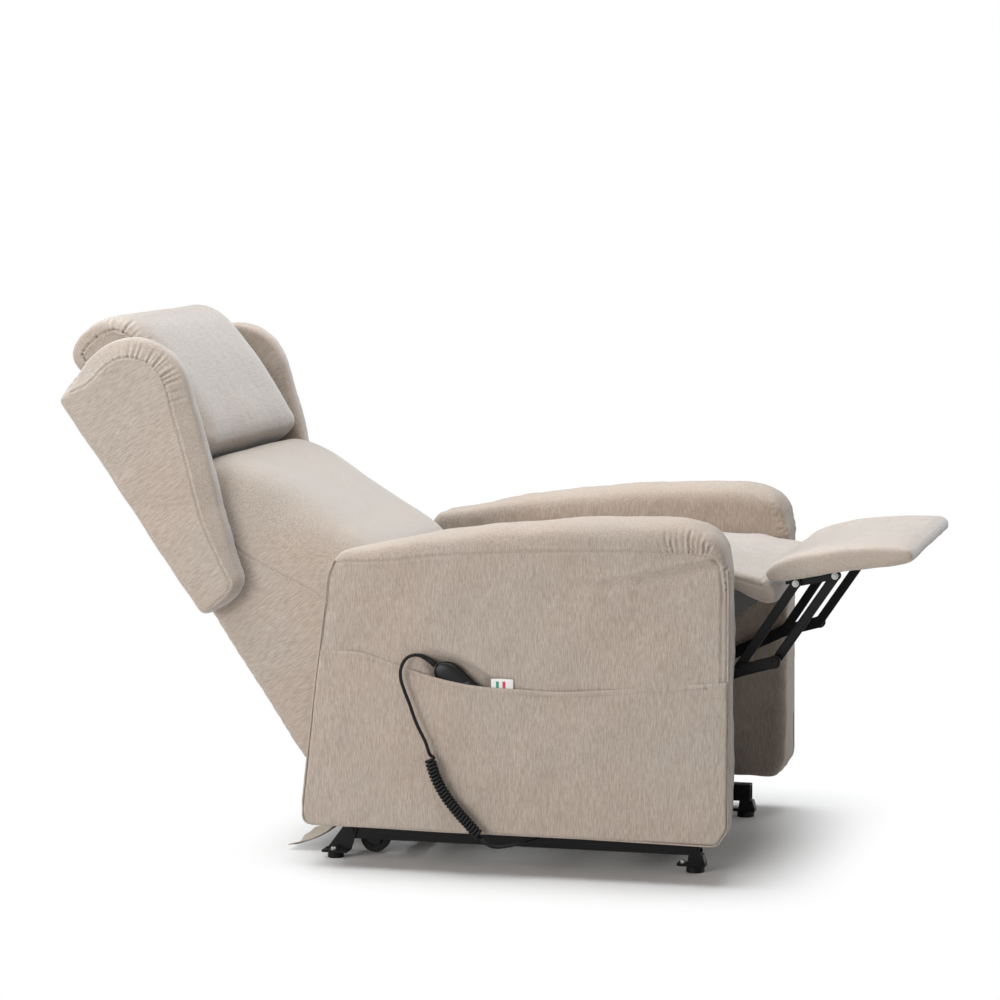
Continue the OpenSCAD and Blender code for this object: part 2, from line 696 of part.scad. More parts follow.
// Hinge plates on the side rails, with their pins, and the crank that the recline actuator pushes.
module back_brackets() {
  hinge_x = [back_w / 2 + gap, plate_in - gap];
  crank_foot = [60, back_frame_n[0] + 14];
  d = recline_ram_end - back_o;
  crank_end = [d[0] * cos(back_angle) + d[1] * sin(back_angle),
               d[1] * cos(back_angle) - d[0] * sin(back_angle)];
  h = recline_pivot - back_o;
  hinge = [h[0] * cos(back_angle) + h[1] * sin(back_angle),
           h[1] * cos(back_angle) - h[0] * sin(back_angle)];
  color(steel) in_back() {
    both_sides() {
      along_x(hinge_x[0], hinge_x[1]) polygon([
        [hinge[0] - 50, back_frame_n[0] + 4], [hinge[0] + 60, back_frame_n[0] + 4],
        [hinge[0] + 60, back_frame_n[1] - 4], hinge + [14, 8], hinge + [6, 15],
        hinge + [-6, 15], hinge + [-14, 8], [hinge[0] - 50, back_frame_n[1] - 4]]);
      rod_x(hinge, lift_pin_r, hinge_x[1], hinge_x[1] + plate_t + gap);
    }
    translate([-ram_x, 0, 0]) {
      along_x(-3, 3) bar_2d(crank_foot, crank_end, 20);
      translate([-20, 28, back_frame_n[1] - 4 + gap]) cube([40, 44, 3]);
    }
  }
}
module back_cross_rails() {
  half = back_w / 2 - wood_t - gap;
  color(timber) in_back() difference() {
    for (s = [30, 370, back_l - 50]) translate([-half, s, back_frame_n[0]])
      cube([2 * half, 40, back_frame_n[1] - back_frame_n[0] - 4]);
    // Slot for the crank.
    translate([-ram_x - 3 - gap, 20, 0]) cube([6 + 2 * gap, 60, 60]);
  }
}
module back_panel() {
  color(fabric) in_back() translate([-back_w / 2, 0, 0]) cube([back_w, back_l, 4]);
}
module back_cushion() {
  color(fabric) in_back()
    padded(rounded(back_mid, 2), rounded(back_side, 2), back_w / 2, 0.62, 14);
}
module head_cushion() {
  o = rounded(head_outline, 2);
  color(fabric) in_back() padded(o, drawn_in(o, 24), back_w / 2 - 2, 0.5, 12);
}
module wing(side) {
  o = rounded(wing_outline, 1);
  mid = back_w / 2 + gap + wing_t / 2;
  color(fabric) in_back() on_side(side)
    translate([mid, 0, 0]) padded(o, drawn_in(o, 15), wing_t / 2, 0.45, 10);
}

// Leg linkage
module leg_drive_tube() {
  color(steel) {
    rod_x(leg_pivot, 15, -thigh_x[0], thigh_x[0]);
    along_x(ram_x - 3, ram_x + 3) bar_2d(leg_pivot, leg_ram_end, 24);
    both_sides() rod_x(leg_pivot, lift_pin_r, thigh_x[0], plate_out);
  }
}
module lower_leg_links() {
  color(steel) both_sides() {
    difference() {
      along_x(thigh_x[0], thigh_x[1]) {
        bar_2d(leg_pivot, knee_pivot, 22);
        bar_2d(knee_pivot, shin_pivot, 22);
      }
      rod_x(leg_pivot, lift_pin_r + play, thigh_x[0] - 1, thigh_x[1] + 1);
    }
    rod_x(knee_pivot, rivet_r, calf_x[0] - 2, thigh_x[0]);
    rod_x(shin_pivot, rivet_r, shin_x[0] - 2, thigh_x[0]);
    for (p = [knee_pivot, shin_pivot]) rod_x(p, rivet_r + 2.5, thigh_x[1], thigh_x[1] + 3);
  }
}
module leg_link(a, b, planes, bores) {
  difference() {
    along_x(planes[0], planes[1]) bar_2d(a, b, leg_link_w);
    for (p = bores) rod_x(p, rivet_r + play, planes[0] - 1, planes[1] + 1);
  }
}
module rear_leg_links() {
  color(steel) both_sides() leg_link(knee_pivot, foot_pivot, calf_x, [knee_pivot, foot_pivot]);
}
module front_leg_links() {
  color(steel) both_sides() leg_link(shin_pivot, toe_pivot, shin_x, [shin_pivot]);
}
module footrest_brackets() {
  color(steel) both_sides() {
    along_x(web_x[0], web_x[1]) bar_2d(foot_pivot, toe_pivot, 13);
    in_footrest() {
      translate([web_x[0] - 20, -50, foot_board_z - 3]) cube([20 + plate_t, 68, 3 - gap / 2]);
      translate([web_x[0], -50, 0]) cube([plate_t, 68, foot_board_z - 1]);
    }
  }
  color(zinc) both_sides() {
    rod_x(foot_pivot, rivet_r, web_x[1], calf_x[1]);
    rod_x(toe_pivot, rivet_r + 2, web_x[1], web_x[1] + 3.5);
  }
}
module footrest_board() {
  half = web_x[0] - 10;
  color(timber) in_footrest() translate([-half, 28 - foot_board_l, foot_board_z])
    cube([2 * half, foot_board_l, foot_board_t]);
}
module footrest_pad() {
  color(fabric) in_footrest()
    padded(rounded(pad_mid, 2), rounded(pad_side, 2), foot_w / 2, 0.45, 12);
}
module knee_flap() {
  color(fabric) translate([0, flap_pivot[0], flap_pivot[1]])
    padded(flap_outline, drawn_in(flap_outline, 4), arm_in - 6, 0.4, 10);
}

base_rail(1);  // base_rail_left
base_rail(-1);  // base_rail_right
base_cross_tubes();
base_feet();
foot_glides();
base_bolts();
lift_brackets();
wheel(1);  // wheel_left
wheel(-1);  // wheel_right
wheel_axles();
lift_torque_tube();
lift_arms();
front_links();
ram_housing(lift_ram_pivot, lift_ram_end, 1);  // lift_motor
ram_rod(lift_ram_pivot, lift_ram_end);  // lift_rod
chassis_plate(1);  // chassis_plate_left
chassis_plate(-1);  // chassis_plate_right
chassis_front_tube();
chassis_rear_tube();
seat_side_rails();
seat_front_rail();
seat_rear_rail();
seat_springs();
seat_cushion();
arm_panels();
arm_cover(1);  // arm_cover_left
arm_cover(-1);  // arm_cover_right
side_pocket();
label_tag();
control_box();
rear_valance();
handset_shell();
button(0);  // button_back_up
button(1);  // button_back_down
button(2);  // button_lift_up
button(3);  // button_lift_down
cord_glands();
cord_lead();
cord_curl();
cord_tail();
back_side_rails();
back_cross_rails();
back_brackets();
back_panel();
back_cushion();
head_cushion();
wing(1);  // wing_left
wing(-1);  // wing_right
translate([-ram_x, 0, 0]) ram_housing(recline_ram_pivot, recline_ram_end, -1);  // recline_motor
translate([-ram_x, 0, 0]) ram_rod(recline_ram_pivot, recline_ram_end);  // recline_rod
leg_drive_tube();
lower_leg_links();
rear_leg_links();
front_leg_links();
footrest_brackets();
footrest_board();
footrest_pad();
knee_flap();
translate([ram_x, 0, 0]) ram_housing(leg_ram_pivot, leg_ram_end, 1);  // leg_motor
translate([ram_x, 0, 0]) ram_rod(leg_ram_pivot, leg_ram_end);  // leg_rod
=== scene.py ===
import bmesh
import bpy
import math
import numpy as np
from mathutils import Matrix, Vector


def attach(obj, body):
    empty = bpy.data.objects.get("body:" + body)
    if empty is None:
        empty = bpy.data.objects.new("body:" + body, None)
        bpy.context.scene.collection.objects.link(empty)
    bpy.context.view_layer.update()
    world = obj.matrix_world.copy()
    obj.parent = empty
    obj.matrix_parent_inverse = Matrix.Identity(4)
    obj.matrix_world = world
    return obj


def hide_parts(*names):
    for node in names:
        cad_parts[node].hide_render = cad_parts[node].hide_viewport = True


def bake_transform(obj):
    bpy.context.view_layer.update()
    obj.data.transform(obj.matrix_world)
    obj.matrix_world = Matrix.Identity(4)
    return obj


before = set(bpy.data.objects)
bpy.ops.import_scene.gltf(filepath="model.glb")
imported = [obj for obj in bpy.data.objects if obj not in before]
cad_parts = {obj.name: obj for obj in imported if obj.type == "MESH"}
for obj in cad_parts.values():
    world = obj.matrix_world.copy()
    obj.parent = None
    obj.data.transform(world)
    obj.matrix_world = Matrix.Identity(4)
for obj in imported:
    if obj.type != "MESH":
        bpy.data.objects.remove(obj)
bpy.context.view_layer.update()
COARSER = 1
MM = 0.001
BACK_TILT, FOOT_TILT, HANDSET_TILT = 56, -9.3, 35  # degrees about X

# Camera and light


def placed(o, place, target):
    """Puts a camera or a lamp in the scene, turned to a target."""
    bpy.context.scene.collection.objects.link(o)
    o.location = place
    o.rotation_euler = (Vector(target) - Vector(place)).to_track_quat("-Z", "Y").to_euler()
    return o


def make_camera():
    data = bpy.data.cameras.new("camera")
    data.lens, data.sensor_width = 120.8, 36
    cam = bpy.data.objects.new("camera", data)
    bpy.context.scene.camera = placed(cam, (-5.724, -1.398, 1.196), (0, 0.029, 0.595))


def lamp(name, place, target, size, watts, colour=(1, 1, 1)):
    data = bpy.data.lights.new(name, "AREA")
    data.shape = "RECTANGLE"
    data.size, data.size_y = size
    data.energy, data.color = watts, colour
    placed(bpy.data.objects.new(name, data), place, target)


def make_light():
    bpy.context.scene.view_settings.view_transform = "Standard"
    lamp("key", (0.1, 0.6, 3.4), (0, 0.1, 0.3), (4.4, 4.4), 216, (0.965, 0.985, 1.0))
    lamp("side_fill", (-4.1, 2.5, 1.3), (0, 0, 0.4), (2.4, 1.8), 104, (1, 0.975, 0.95))
    lamp("floor_fill", (1.0, -1.7, 1.6), (0.7, -1.2, 0.0), (1.4, 1.4), 5)


# Shader nodes


class Wire:
    """A node's output, with the arithmetic that joins it to others."""

    def __init__(self, graph, socket):
        self.graph, self.socket = graph, socket

    def work(self, kind, a, b):
        return self.graph.node("ShaderNodeMath", {"operation": kind}, {0: a, 1: b})

    def __add__(self, other):
        return self.work("ADD", self, other)

    def __sub__(self, other):
        return self.work("SUBTRACT", self, other)

    def __rsub__(self, other):
        return self.work("SUBTRACT", other, self)

    def __mul__(self, other):
        return self.work("MULTIPLY", self, other)

    def step(self, low, high):
        """A soft rise from 0 at low to 1 at high."""
        return self.graph.node("ShaderNodeMapRange", {"interpolation_type": "SMOOTHSTEP"},
                               {"Value": self, "From Min": low, "From Max": high})


class Graph:
    """A node tree, built by one method."""

    def __init__(self, tree):
        self.tree = tree
        tree.nodes.clear()

    def node(self, kind, settings=None, inputs=None, out=0):
        """Adds a node and gives one output. An input takes a value, a wire or a list of wires."""
        n = self.tree.nodes.new(kind)
        for k, v in (settings or {}).items():
            setattr(n, k, v)
        for k, v in (inputs or {}).items():
            for one in v if isinstance(v, list) else [v]:
                if isinstance(one, Wire):
                    self.tree.links.new(one.socket, n.inputs[k])
                else:
                    n.inputs[k].default_value = one
        return Wire(self, n.outputs[out]) if len(n.outputs) else None


class Finish(Graph):
    """A material."""

    def __init__(self, name):
        self.mat = bpy.data.materials.new(name)
        self.mat.use_nodes = True
        super().__init__(self.mat.node_tree)

    def place(self):
        return self.node("ShaderNodeTexCoord", out="Object")

    def noise(self, at, scale, detail):
        return self.node("ShaderNodeTexNoise", None,
                         {"Vector": at, "Scale": scale, "Detail": detail, "Roughness": 0.55})

    def vector(self, kind, a, b=(0, 0, 0), out=0):
        return self.node("ShaderNodeVectorMath", {"operation": kind}, {0: a, 1: b}, out)

    def scaled(self, a, factor):
        return self.node("ShaderNodeVectorMath", {"operation": "SCALE"}, {0: a, 3: factor})

    def mix(self, factor, a, b):
        return self.node("ShaderNodeMix", {"data_type": "RGBA"}, {0: factor, 6: a, 7: b}, 2)

    def bump(self, height, distance, strength):
        return self.node("ShaderNodeBump", None,
                         {"Height": height, "Distance": distance, "Strength": strength})

    def surface(self, colour, roughness, normal, **rest):
        ins = {"Base Color": colour, "Roughness": roughness, "Normal": normal}
        ins.update({k.replace("_", " "): v for k, v in rest.items()})
        s = self.node("ShaderNodeBsdfPrincipled", None, ins)
        self.node("ShaderNodeOutputMaterial", None, {"Surface": s})
        return self.mat


def rgb(r, g, b, painted_lightness=1.0):
    """A colour from its sRGB steps, out of 255."""
    steps = [c * painted_lightness / 255 for c in (r, g, b)]
    return tuple(c / 12.92 if c < 0.04045 else ((c + 0.055) / 1.055) ** 2.4
                 for c in steps) + (1.0,)


def chenille(name, along, bold=1.0, sheen=0.7, painted_lightness=1.0):
    """Upholstery weave. Its short streaks lie along one direction, and look like specks end on. Its
    last argument scales the whole colour: above 1 it is painted light, below 1 painted shade.
    """
    f = Finish(name)
    p = f.place()
    d = f.vector("DOT_PRODUCT", p, along, out=1)

    def streaks(fine, coarse, detail):
        pull = f.scaled(along, d * (coarse - fine))
        return f.noise(f.vector("ADD", f.scaled(p, fine), pull), 1.0, detail)

    yarn, slub = streaks(740.0, 64.0, 1.5), streaks(260.0, 34.0, 2.0)
    cloud, drift, speck = f.noise(p, 16.0, 3.0), f.noise(p, 3.2, 2.0), f.noise(p, 760.0, 1.0)
    mixed = (yarn - 0.5) * (2.1 * bold) + (slub - 0.5) * (0.25 * bold) + (speck - 0.5) * bold + 0.5
    cloth = f.mix(mixed.step(0.0, 1.0), rgb(150, 136, 123, painted_lightness), rgb(195, 184, 174, painted_lightness))
    tint = f.mix(drift.step(0.35, 0.65), rgb(182, 164, 150, painted_lightness), rgb(176, 169, 161, painted_lightness))
    colour = f.mix((cloud - 0.5) * 0.5 + 0.22, f.mix(0.32, cloth, tint), rgb(170, 154, 141, painted_lightness))
    height = yarn * 0.8 + slub * 0.2 + speck * 0.2
    return f.surface(colour, 0.93, f.bump(height, 0.001, 0.5 * bold), Sheen_Weight=sheen,
                     Sheen_Roughness=0.5, Sheen_Tint=(0.9, 0.96, 1.0, 1.0),
                     Specular_IOR_Level=0.12)


def coated(name, shade, rough, grain, metal=0.0, patch=0.72):
    """Paint, plastic, rubber, lining or plated metal with a fine grain and darker patches."""
    f = Finish(name)
    p = f.place()
    fine, broad = f.noise(p, grain, 2.0), f.noise(p, 22.0, 3.0)
    darker = tuple(c * patch for c in shade[:3]) + (1.0,)
    colour = f.mix(broad.step(0.3, 0.72), darker, shade)
    return f.surface(colour, (broad - 0.5) * 0.3 + (fine - 0.5) * 0.15 + rough,
                     f.bump(fine, 0.00025, 0.35), Metallic=metal, Specular_IOR_Level=0.22)


def ribbon():
    """White satin with a plain green bar and a plain red one."""
    f = Finish("ribbon")
    p = f.place()
    y, z = (f.node("ShaderNodeSeparateXYZ", None, {0: p}, k) for k in (1, 2))
    low = 1 - z.step(0.3318, 0.3322)

    def bar(a, b, edge=0.0003):
        return y.step(a - edge, a) * (1 - y.step(b, b + edge)) * low

    grain = f.noise(f.vector("MULTIPLY", p, (1, 6, 1)), 420.0, 2.0)
    white = f.mix(grain, rgb(214, 213, 210), rgb(240, 239, 236))
    green = f.mix(bar(-0.0632, -0.0586), white, rgb(38, 142, 112))
    both = f.mix(bar(-0.0745, -0.0697), green, rgb(205, 48, 78))
    return f.surface(both, 0.55, f.bump(grain, 0.0003, 0.3))


def make_finishes():
    lean = math.radians(BACK_TILT)
    return {
        "arm": chenille("cloth_arm", (0, 0, 1), sheen=0.22),
        # A copy of the cloth darkened to 0.42 as painted shade, for the seat's front rail under the
        # flap.
        "under": chenille("cloth_under", (0, 0, 1), 0.7, 0.1, 0.42),
        # The backrest, seat and footrest cloth is lightened by its last argument as painted light;
        # the head's is not.
        "back": chenille("cloth_back", (0, -math.sin(lean), math.cos(lean)), 1.05, painted_lightness=1.02),
        "head": chenille("cloth_head", (1, 0, 0)),
        "seat": chenille("cloth_seat", (1, 0, 0), painted_lightness=1.03),
        "foot": chenille("cloth_foot", (0.97, -0.24, 0), sheen=0.6, painted_lightness=1.06),
        "lining": coated("lining_cloth", rgb(200, 191, 177), 0.9, 700, patch=0.94),
        "ribbon": ribbon(),
        "steel": coated("powder_coat", rgb(11, 11, 12), 0.36, 1400),
        "zinc": coated("zinc_plate", rgb(196, 198, 194), 0.3, 600, 1.0),
        "timber": coated("beech", rgb(176, 132, 88), 0.7, 260),
        "rubber": coated("cord_rubber", rgb(9, 9, 10), 0.42, 900),
        "plastic": coated("moulded_plastic", rgb(9, 9, 10), 0.36, 1100),
        "button": coated("key_plastic", rgb(62, 62, 66), 0.4, 1100),
    }


# Outlines, in millimetres


def clamp(t):
    return np.clip(t, 0, 1)


def eased(t):
    t = clamp(t)
    return t * t * (3 - 2 * t)


def unit(v):
    """Vectors brought to length 1."""
    return v / np.maximum(np.linalg.norm(v, axis=-1, keepdims=True), 1e-9)


def lengths(line):
    """The distance along a line at each of its points."""
    return np.r_[0, np.cumsum(np.linalg.norm(np.diff(line, axis=0), axis=1))]


def at_lengths(line, at):
    """The points of a line at distances along it."""
    run = lengths(line)
    return np.stack([np.interp(at, run, line[:, k]) for k in range(line.shape[1])], 1)


def even(loop, step):
    """A closed loop resampled at even distances."""
    ring = np.vstack([loop, loop[:1]])
    total = lengths(ring)[-1]
    n = max(12, int(round(total / step)))
    return at_lengths(ring, np.arange(n) / n * total)


def between(u, lo, hi, a, b):
    return (hi - u) / (hi - lo) * a + (u - lo) / (hi - lo) * b


def spline(points, closed=False, fine=10):
    """Centripetal curve through the points."""
    p = np.asarray(points, float)
    if closed:
        p = np.vstack([p[-1], p, p[:2]])
    else:
        p = np.vstack([2 * p[0] - p[1], p, 2 * p[-1] - p[-2]])
    out = []
    for q in (p[i:i + 4] for i in range(len(p) - 3)):
        step = np.maximum(np.linalg.norm(np.diff(q, axis=0), axis=1), 1e-6) ** 0.5
        t = np.r_[0, np.cumsum(step)]
        for u in np.linspace(t[1], t[2], fine, endpoint=False):
            a = [between(u, t[k], t[k + 1], q[k], q[k + 1]) for k in range(3)]
            b = [between(u, t[k], t[k + 2], a[k], a[k + 1]) for k in range(2)]
            out.append(between(u, t[1], t[2], *b))
    if not closed:
        out.append(p[-2])
    return np.array(out)


def fillet(points):
    """Closed polygon of (a, b, radius) with its corners rounded."""
    p = np.array([q[:2] for q in points], float)
    out = []
    for i, (_, _, radius) in enumerate(points):
        b = p[i]
        u, v = p[i - 1] - b, p[(i + 1) % len(p)] - b
        short = 0.48 * min(np.linalg.norm(u), np.linalg.norm(v))
        u, v = unit(u), unit(v)
        half = math.acos(max(-1, min(1, float(u @ v)))) / 2
        if half > math.radians(88.5):
            out.append(b)
            continue
        cut = min(radius / math.tan(half), short)
        for t in np.linspace(0, 1, 9):
            out.append((1 - t) ** 2 * (b + u * cut) + 2 * t * (1 - t) * b + t ** 2 * (b + v * cut))
    return np.array(out)


def soften(values, rounds):
    """Evens out values round a loop."""
    for _ in range(rounds):
        values = 0.5 * values + 0.25 * (np.roll(values, 1, 0) + np.roll(values, -1, 0))
    return values


def outward(loop):
    """Unit normals of a closed loop, away from its inside."""
    d = np.roll(loop, -1, 0) - np.roll(loop, 1, 0)
    n = unit(np.stack([d[:, 1], -d[:, 0]], 1))
    x, y = loop[:, 0], loop[:, 1]
    area = (x * np.roll(y, -1) - np.roll(x, -1) * y).sum()
    return soften(n if area > 0 else -n, 2)


def stretch(points, keep):
    """The one unbroken stretch of a loop's points that is kept."""
    start = int(np.argmax(keep & ~np.roll(keep, 1)))
    return np.roll(points, -start, 0)[:int(keep.sum())]


def around(chosen, rnd, widest):
    """Goes round a loop in uneven steps, and stops at its chosen points."""
    k = 0.0
    while k < len(chosen):
        if chosen[int(k)]:
            yield int(k)
        k += rnd.uniform(1.4, widest)


# Meshes


def new_mesh(name, points, faces, edges=(), scale=MM):
    """An object from points in millimetres."""
    me = bpy.data.meshes.new(name)
    me.from_pydata([tuple(p) for p in np.asarray(points, float) * scale], list(edges), faces)
    me.update()
    o = bpy.data.objects.new(name, me)
    bpy.context.scene.collection.objects.link(o)
    return o


def skin(rings, m, caps=True):
    """Faces between rings of m points each, and over both ends."""
    faces = [(k * m + i, k * m + (i + 1) % m, (k + 1) * m + (i + 1) % m, (k + 1) * m + i)
             for k in range(rings - 1) for i in range(m)]
    if caps:
        faces += [tuple(range(m))[::-1], tuple(range((rings - 1) * m, rings * m))]
    return faces


def apply(o, kind, **settings):
    """Gives the object a modifier and applies it."""
    m = o.modifiers.new(kind.lower(), kind)
    for k, v in settings.items():
        setattr(m, k, v)
    bake(o)


def bake(o):
    """Applies the object's modifiers."""
    dg = bpy.context.evaluated_depsgraph_get()
    dg.update()
    old, new = o.data, bpy.data.meshes.new_from_object(o.evaluated_get(dg))
    o.modifiers.clear()
    o.data = new
    bpy.data.meshes.remove(old)
    new.name = o.name


def vertices(o, key):
    v = np.empty(len(o.data.vertices) * 3)
    o.data.vertices.foreach_get(key, v)
    return v.reshape(-1, 3)


def coords(o):
    return vertices(o, "co") / MM


def set_coords(o, co):
    o.data.vertices.foreach_set("co", (co * MM).ravel())
    o.data.update()


def relax(o, rounds):
    """Evens out a mesh without drawing it in."""
    e = np.empty(len(o.data.edges) * 2, int)
    o.data.edges.foreach_get("vertices", e)
    a, b = e.reshape(-1, 2).T
    co = coords(o)
    n = len(co)
    count = np.maximum(np.bincount(e, minlength=n), 1)[:, None]
    for w in (0.5, -0.52) * rounds:
        total = [np.bincount(a, co[b, k], n) + np.bincount(b, co[a, k], n) for k in range(3)]
        co = co + w * (np.stack(total, 1) / count - co)
    set_coords(o, co)


def smooth(o):
    o.data.shade_smooth()
    return o


def tilted(y, z, degrees):
    """Gives the place of (x, a, b) on the chair, from a frame at y, z that is tilted about X."""
    c, s = math.cos(math.radians(degrees)), math.sin(math.radians(degrees))

    def place(x, a, b):
        return np.stack(np.broadcast_arrays(x, y + a * c - b * s, z + a * s + b * c), -1)
    return place


# Pivots of the footrest's links, as (y, z)
LEG, KNEE, SHIN, HEEL, TOE = (-315, 284), (-440, 344), (-504, 362), (-538, 494), (-603, 508)

upright = tilted(0, 0, 0)
on_back = tilted(309, 163, BACK_TILT)
on_foot = tilted(*HEEL, FOOT_TILT)
on_handset = tilted(46, 354, 180 + HANDSET_TILT)


def stuffed(name, loop, edges, centre, half, place, voxel=7.0, rim=None):
    """A closed body across the chair. edges gives (draw, width, a, b) at its -x and +x sides: the
    outline is drawn in over the last width, along the curve 1 - (1 - t ** a) ** (1 / b), by draw
    or to the outline rim."""
    m = len(loop)
    norm = outward(loop)
    rings = []
    for x in half * np.sin(np.linspace(-math.pi / 2, math.pi / 2, 41)):
        draw, width, a, b = edges[0 if x < 0 else 1]
        draw, width = (np.broadcast_to(v, m)[:, None] for v in (draw, width))
        t = clamp((abs(x) - (half - width)) / width)
        f = 1 - np.maximum(1 - t ** a, 0) ** (1 / b)
        ring = loop * (1 - f) + (loop - norm * draw if rim is None else rim) * f
        rings.append(place(centre + x, *ring.T))
    o = new_mesh(name, np.vstack(rings), skin(len(rings), m))
    apply(o, "REMESH", mode="VOXEL", voxel_size=voxel * MM * COARSER, use_smooth_shade=True)
    relax(o, 4)
    apply(o, "SUBSURF", levels=1, render_levels=1)
    return smooth(o)


def refine(o, lines, reach, rounds=1):
    """Finer faces within reach of the lines."""
    bm = bmesh.new()
    bm.from_mesh(o.data)
    for _ in range(rounds):
        co = np.array([v.co for v in bm.verts]) / MM
        near = np.zeros(len(co), bool)
        for line in lines:
            k = np.flatnonzero(boxed(co, line, reach) & ~near)
            near[k[from_line(co[k], line)[0] < reach]] = True
        edges = [e for e in bm.edges if near[e.verts[0].index] and near[e.verts[1].index]]
        bmesh.ops.subdivide_edges(bm, edges=edges, cuts=1, use_grid_fill=True)
        bm.verts.index_update()
    bm.to_mesh(o.data)
    bm.free()
    smooth(o)


def worked(o, base, seams=(), gathers=(), wide=3.4):
    """Puts a piece's seams, gathers and unevenness into its surface."""
    refine(o, seams, 9.0)
    refine(o, [line for line, _ in gathers], 8.0, 2)
    p = coords(o)
    h = base(p)
    for line in seams:
        h += seam(p, line)
    if gathers:
        h += creases(p, gathers, wide)
    set_coords(o, p + vertices(o, "normal") * h[:, None])


def tube_mesh(path, radius, sides):
    """Points and faces of a round tube along a path, without twist."""
    p = np.asarray(path, float)
    r = np.broadcast_to(radius, len(p))
    d = unit(np.gradient(p, axis=0))
    u = np.cross(d[0], [1.0, 0.13, 0.07])
    turn = np.linspace(0, math.tau, sides, endpoint=False)[:, None]
    rings = []
    for i in range(len(p)):
        u = unit(u - d[i] * (u @ d[i]))
        rings.append(p[i] + r[i] * (np.cos(turn) * u + np.sin(turn) * np.cross(d[i], u)))
    return np.vstack(rings), skin(len(p), sides)


def tube(name, path, radius, sides):
    return smooth(new_mesh(name, *tube_mesh(path, radius, sides)))


# Folds and creases, as heights above the surface in millimetres


def from_line(p, line):
    """Distance from each point to a line of points, and the share of the way along it."""
    line = np.asarray(line, float)
    best = np.full(len(p), 1e9)
    along = np.zeros(len(p))
    run = lengths(line)
    for i in range(len(line) - 1):
        a, d = line[i], line[i + 1] - line[i]
        t = clamp((p - a) @ d / max(d @ d, 1e-9))
        q = np.linalg.norm(p - a - t[:, None] * d, axis=1)
        near = q < best
        best[near] = q[near]
        along[near] = ((run[i] + t * (run[i + 1] - run[i])) / run[-1])[near]
    return best, along


def boxed(p, line, reach):
    """Which points lie in the line's box, grown by reach."""
    line = np.asarray(line, float)
    return np.all((p > line.min(0) - reach) & (p < line.max(0) + reach), axis=1)


def swell(p, size, seed, count=18):
    """Smooth unevenness with waves of about that size."""
    r = np.random.default_rng(seed)
    k = r.normal(size=(count, 3))
    k *= (math.tau / size * r.uniform(0.6, 1.3, count) / np.linalg.norm(k, axis=1))[:, None]
    return np.cos(p @ k.T + r.uniform(0, math.tau, count)).sum(1) * math.sqrt(2 / count)


def uneven(*waves):
    """Unevenness from waves of (height, size, seed)."""
    return lambda p: sum(h * swell(p, size, seed) for h, size, seed in waves)


def creases(p, gathers, width):
    """Gathers of (line, depth): each line starts at its seam, where it is deepest."""
    h = np.zeros(len(p))
    for line, depth in gathers:
        near = boxed(p, line, 4 * width)
        if not near.any():
            continue
        d, t = from_line(p[near], line)
        z = d / (width * (0.8 + 0.5 * t))
        fold = np.exp(-z ** 2) - 0.45 * np.exp(-((z - 1.7) / 0.9) ** 2)
        h[near] -= depth * (1 - t) ** 0.8 * fold
    return h


def seam(p, line, depth=1.7, width=2.2):
    """A groove with a low rise beside it."""
    h = np.zeros(len(p))
    near = boxed(p, line, 12)
    d, _ = from_line(p[near], line)
    rise = 0.35 * depth * np.exp(-((d - 4.5) / 2.5) ** 2)
    h[near] = -depth * np.exp(-(d / width) ** 2) + rise
    return h


def done(o, finish, body, slot, *nodes):
    """A piece's material, body and the CAD nodes that it stands for. Its slot argument is not used.
    """
    if not o.data.materials:
        o.data.materials.append(F[finish])
    if nodes:
        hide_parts(*nodes)
    if body:
        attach(o, body)


make_camera()
make_light()
F = make_finishes()

# Arms, with an outline of (y, z, how far the edge rolls over)

ARM = [(-440, 72, 6), (-200, 72, 6), (40, 72, 6), (284, 72, 16), (282, 110, 6), (258, 320, 5),
       (239, 458, 5), (235, 500, 6), (222, 538, 14), (155, 551, 26), (60, 571, 38), (-40, 586, 46),
       (-166, 600, 50), (-290, 606, 51), (-366, 606, 51), (-397, 598, 46), (-420, 584, 34),
       (-434, 562, 20), (-441, 528, 13), (-441, 300, 12)]
ARM_MID, ARM_HALF = 320, 55
ARM_IN, ARM_OUT = ARM_MID - ARM_HALF, ARM_MID + ARM_HALF
ARM_SEAM = [(228, 521), (205, 524), (150, 526), (60, 536), (-40, 545), (-150, 551), (-260, 554),
            (-350, 554), (-405, 551), (-424, 541), (-428, 520), (-428, 420), (-428, 300),
            (-428, 110)]
# The near arm's gathers on top start at y and end at y, z. Those in front start at z.
NEAR_TOP = [(-338, -330, 588), (-348, -342, 600), (-357, -352, 590), (-366, -363, 604),
            (-375, -374, 596), (-383, -386, 602), (-391, -394, 588), (-398, -404, 592),
            (-406, -412, 580), (-413, -420, 570)]
NEAR_FRONT = [554, 546, 537, 528, 518, 507, 496]
FAR_FRONT = [(-412, 605), (-419, 594), (-427, 581), (-433, 568), (-438, 556), (-441, 544),
             (-443, 531), (-444, 516)]
NEAR_FOLD = [(-412, 545), (-367, 534), (-318, 522), (-234, 507), (-150, 500)]


def arm_loop():
    """The arm's outline with its corners rounded, and the lower front one cut."""
    pts = [(-441, 99, 9), (-422, 69, 9)]
    for a, b, _ in ARM[1:]:
        high = b > 520 or a < -430 and b > 400
        pts.append((a, b, 30 if high else 26 if a > 283 else 14))
    return even(fillet(pts), 7)


def arm_radii(loop):
    """How far and how wide the sides roll over: much on top, little at the other edges."""
    ref = np.array(ARM + ARM[:1], float)
    run = lengths(ref[:, :2])
    return soften(np.interp(from_line(loop, ref[:, :2])[1] * run[-1], run, ref[:, 2]), 6)


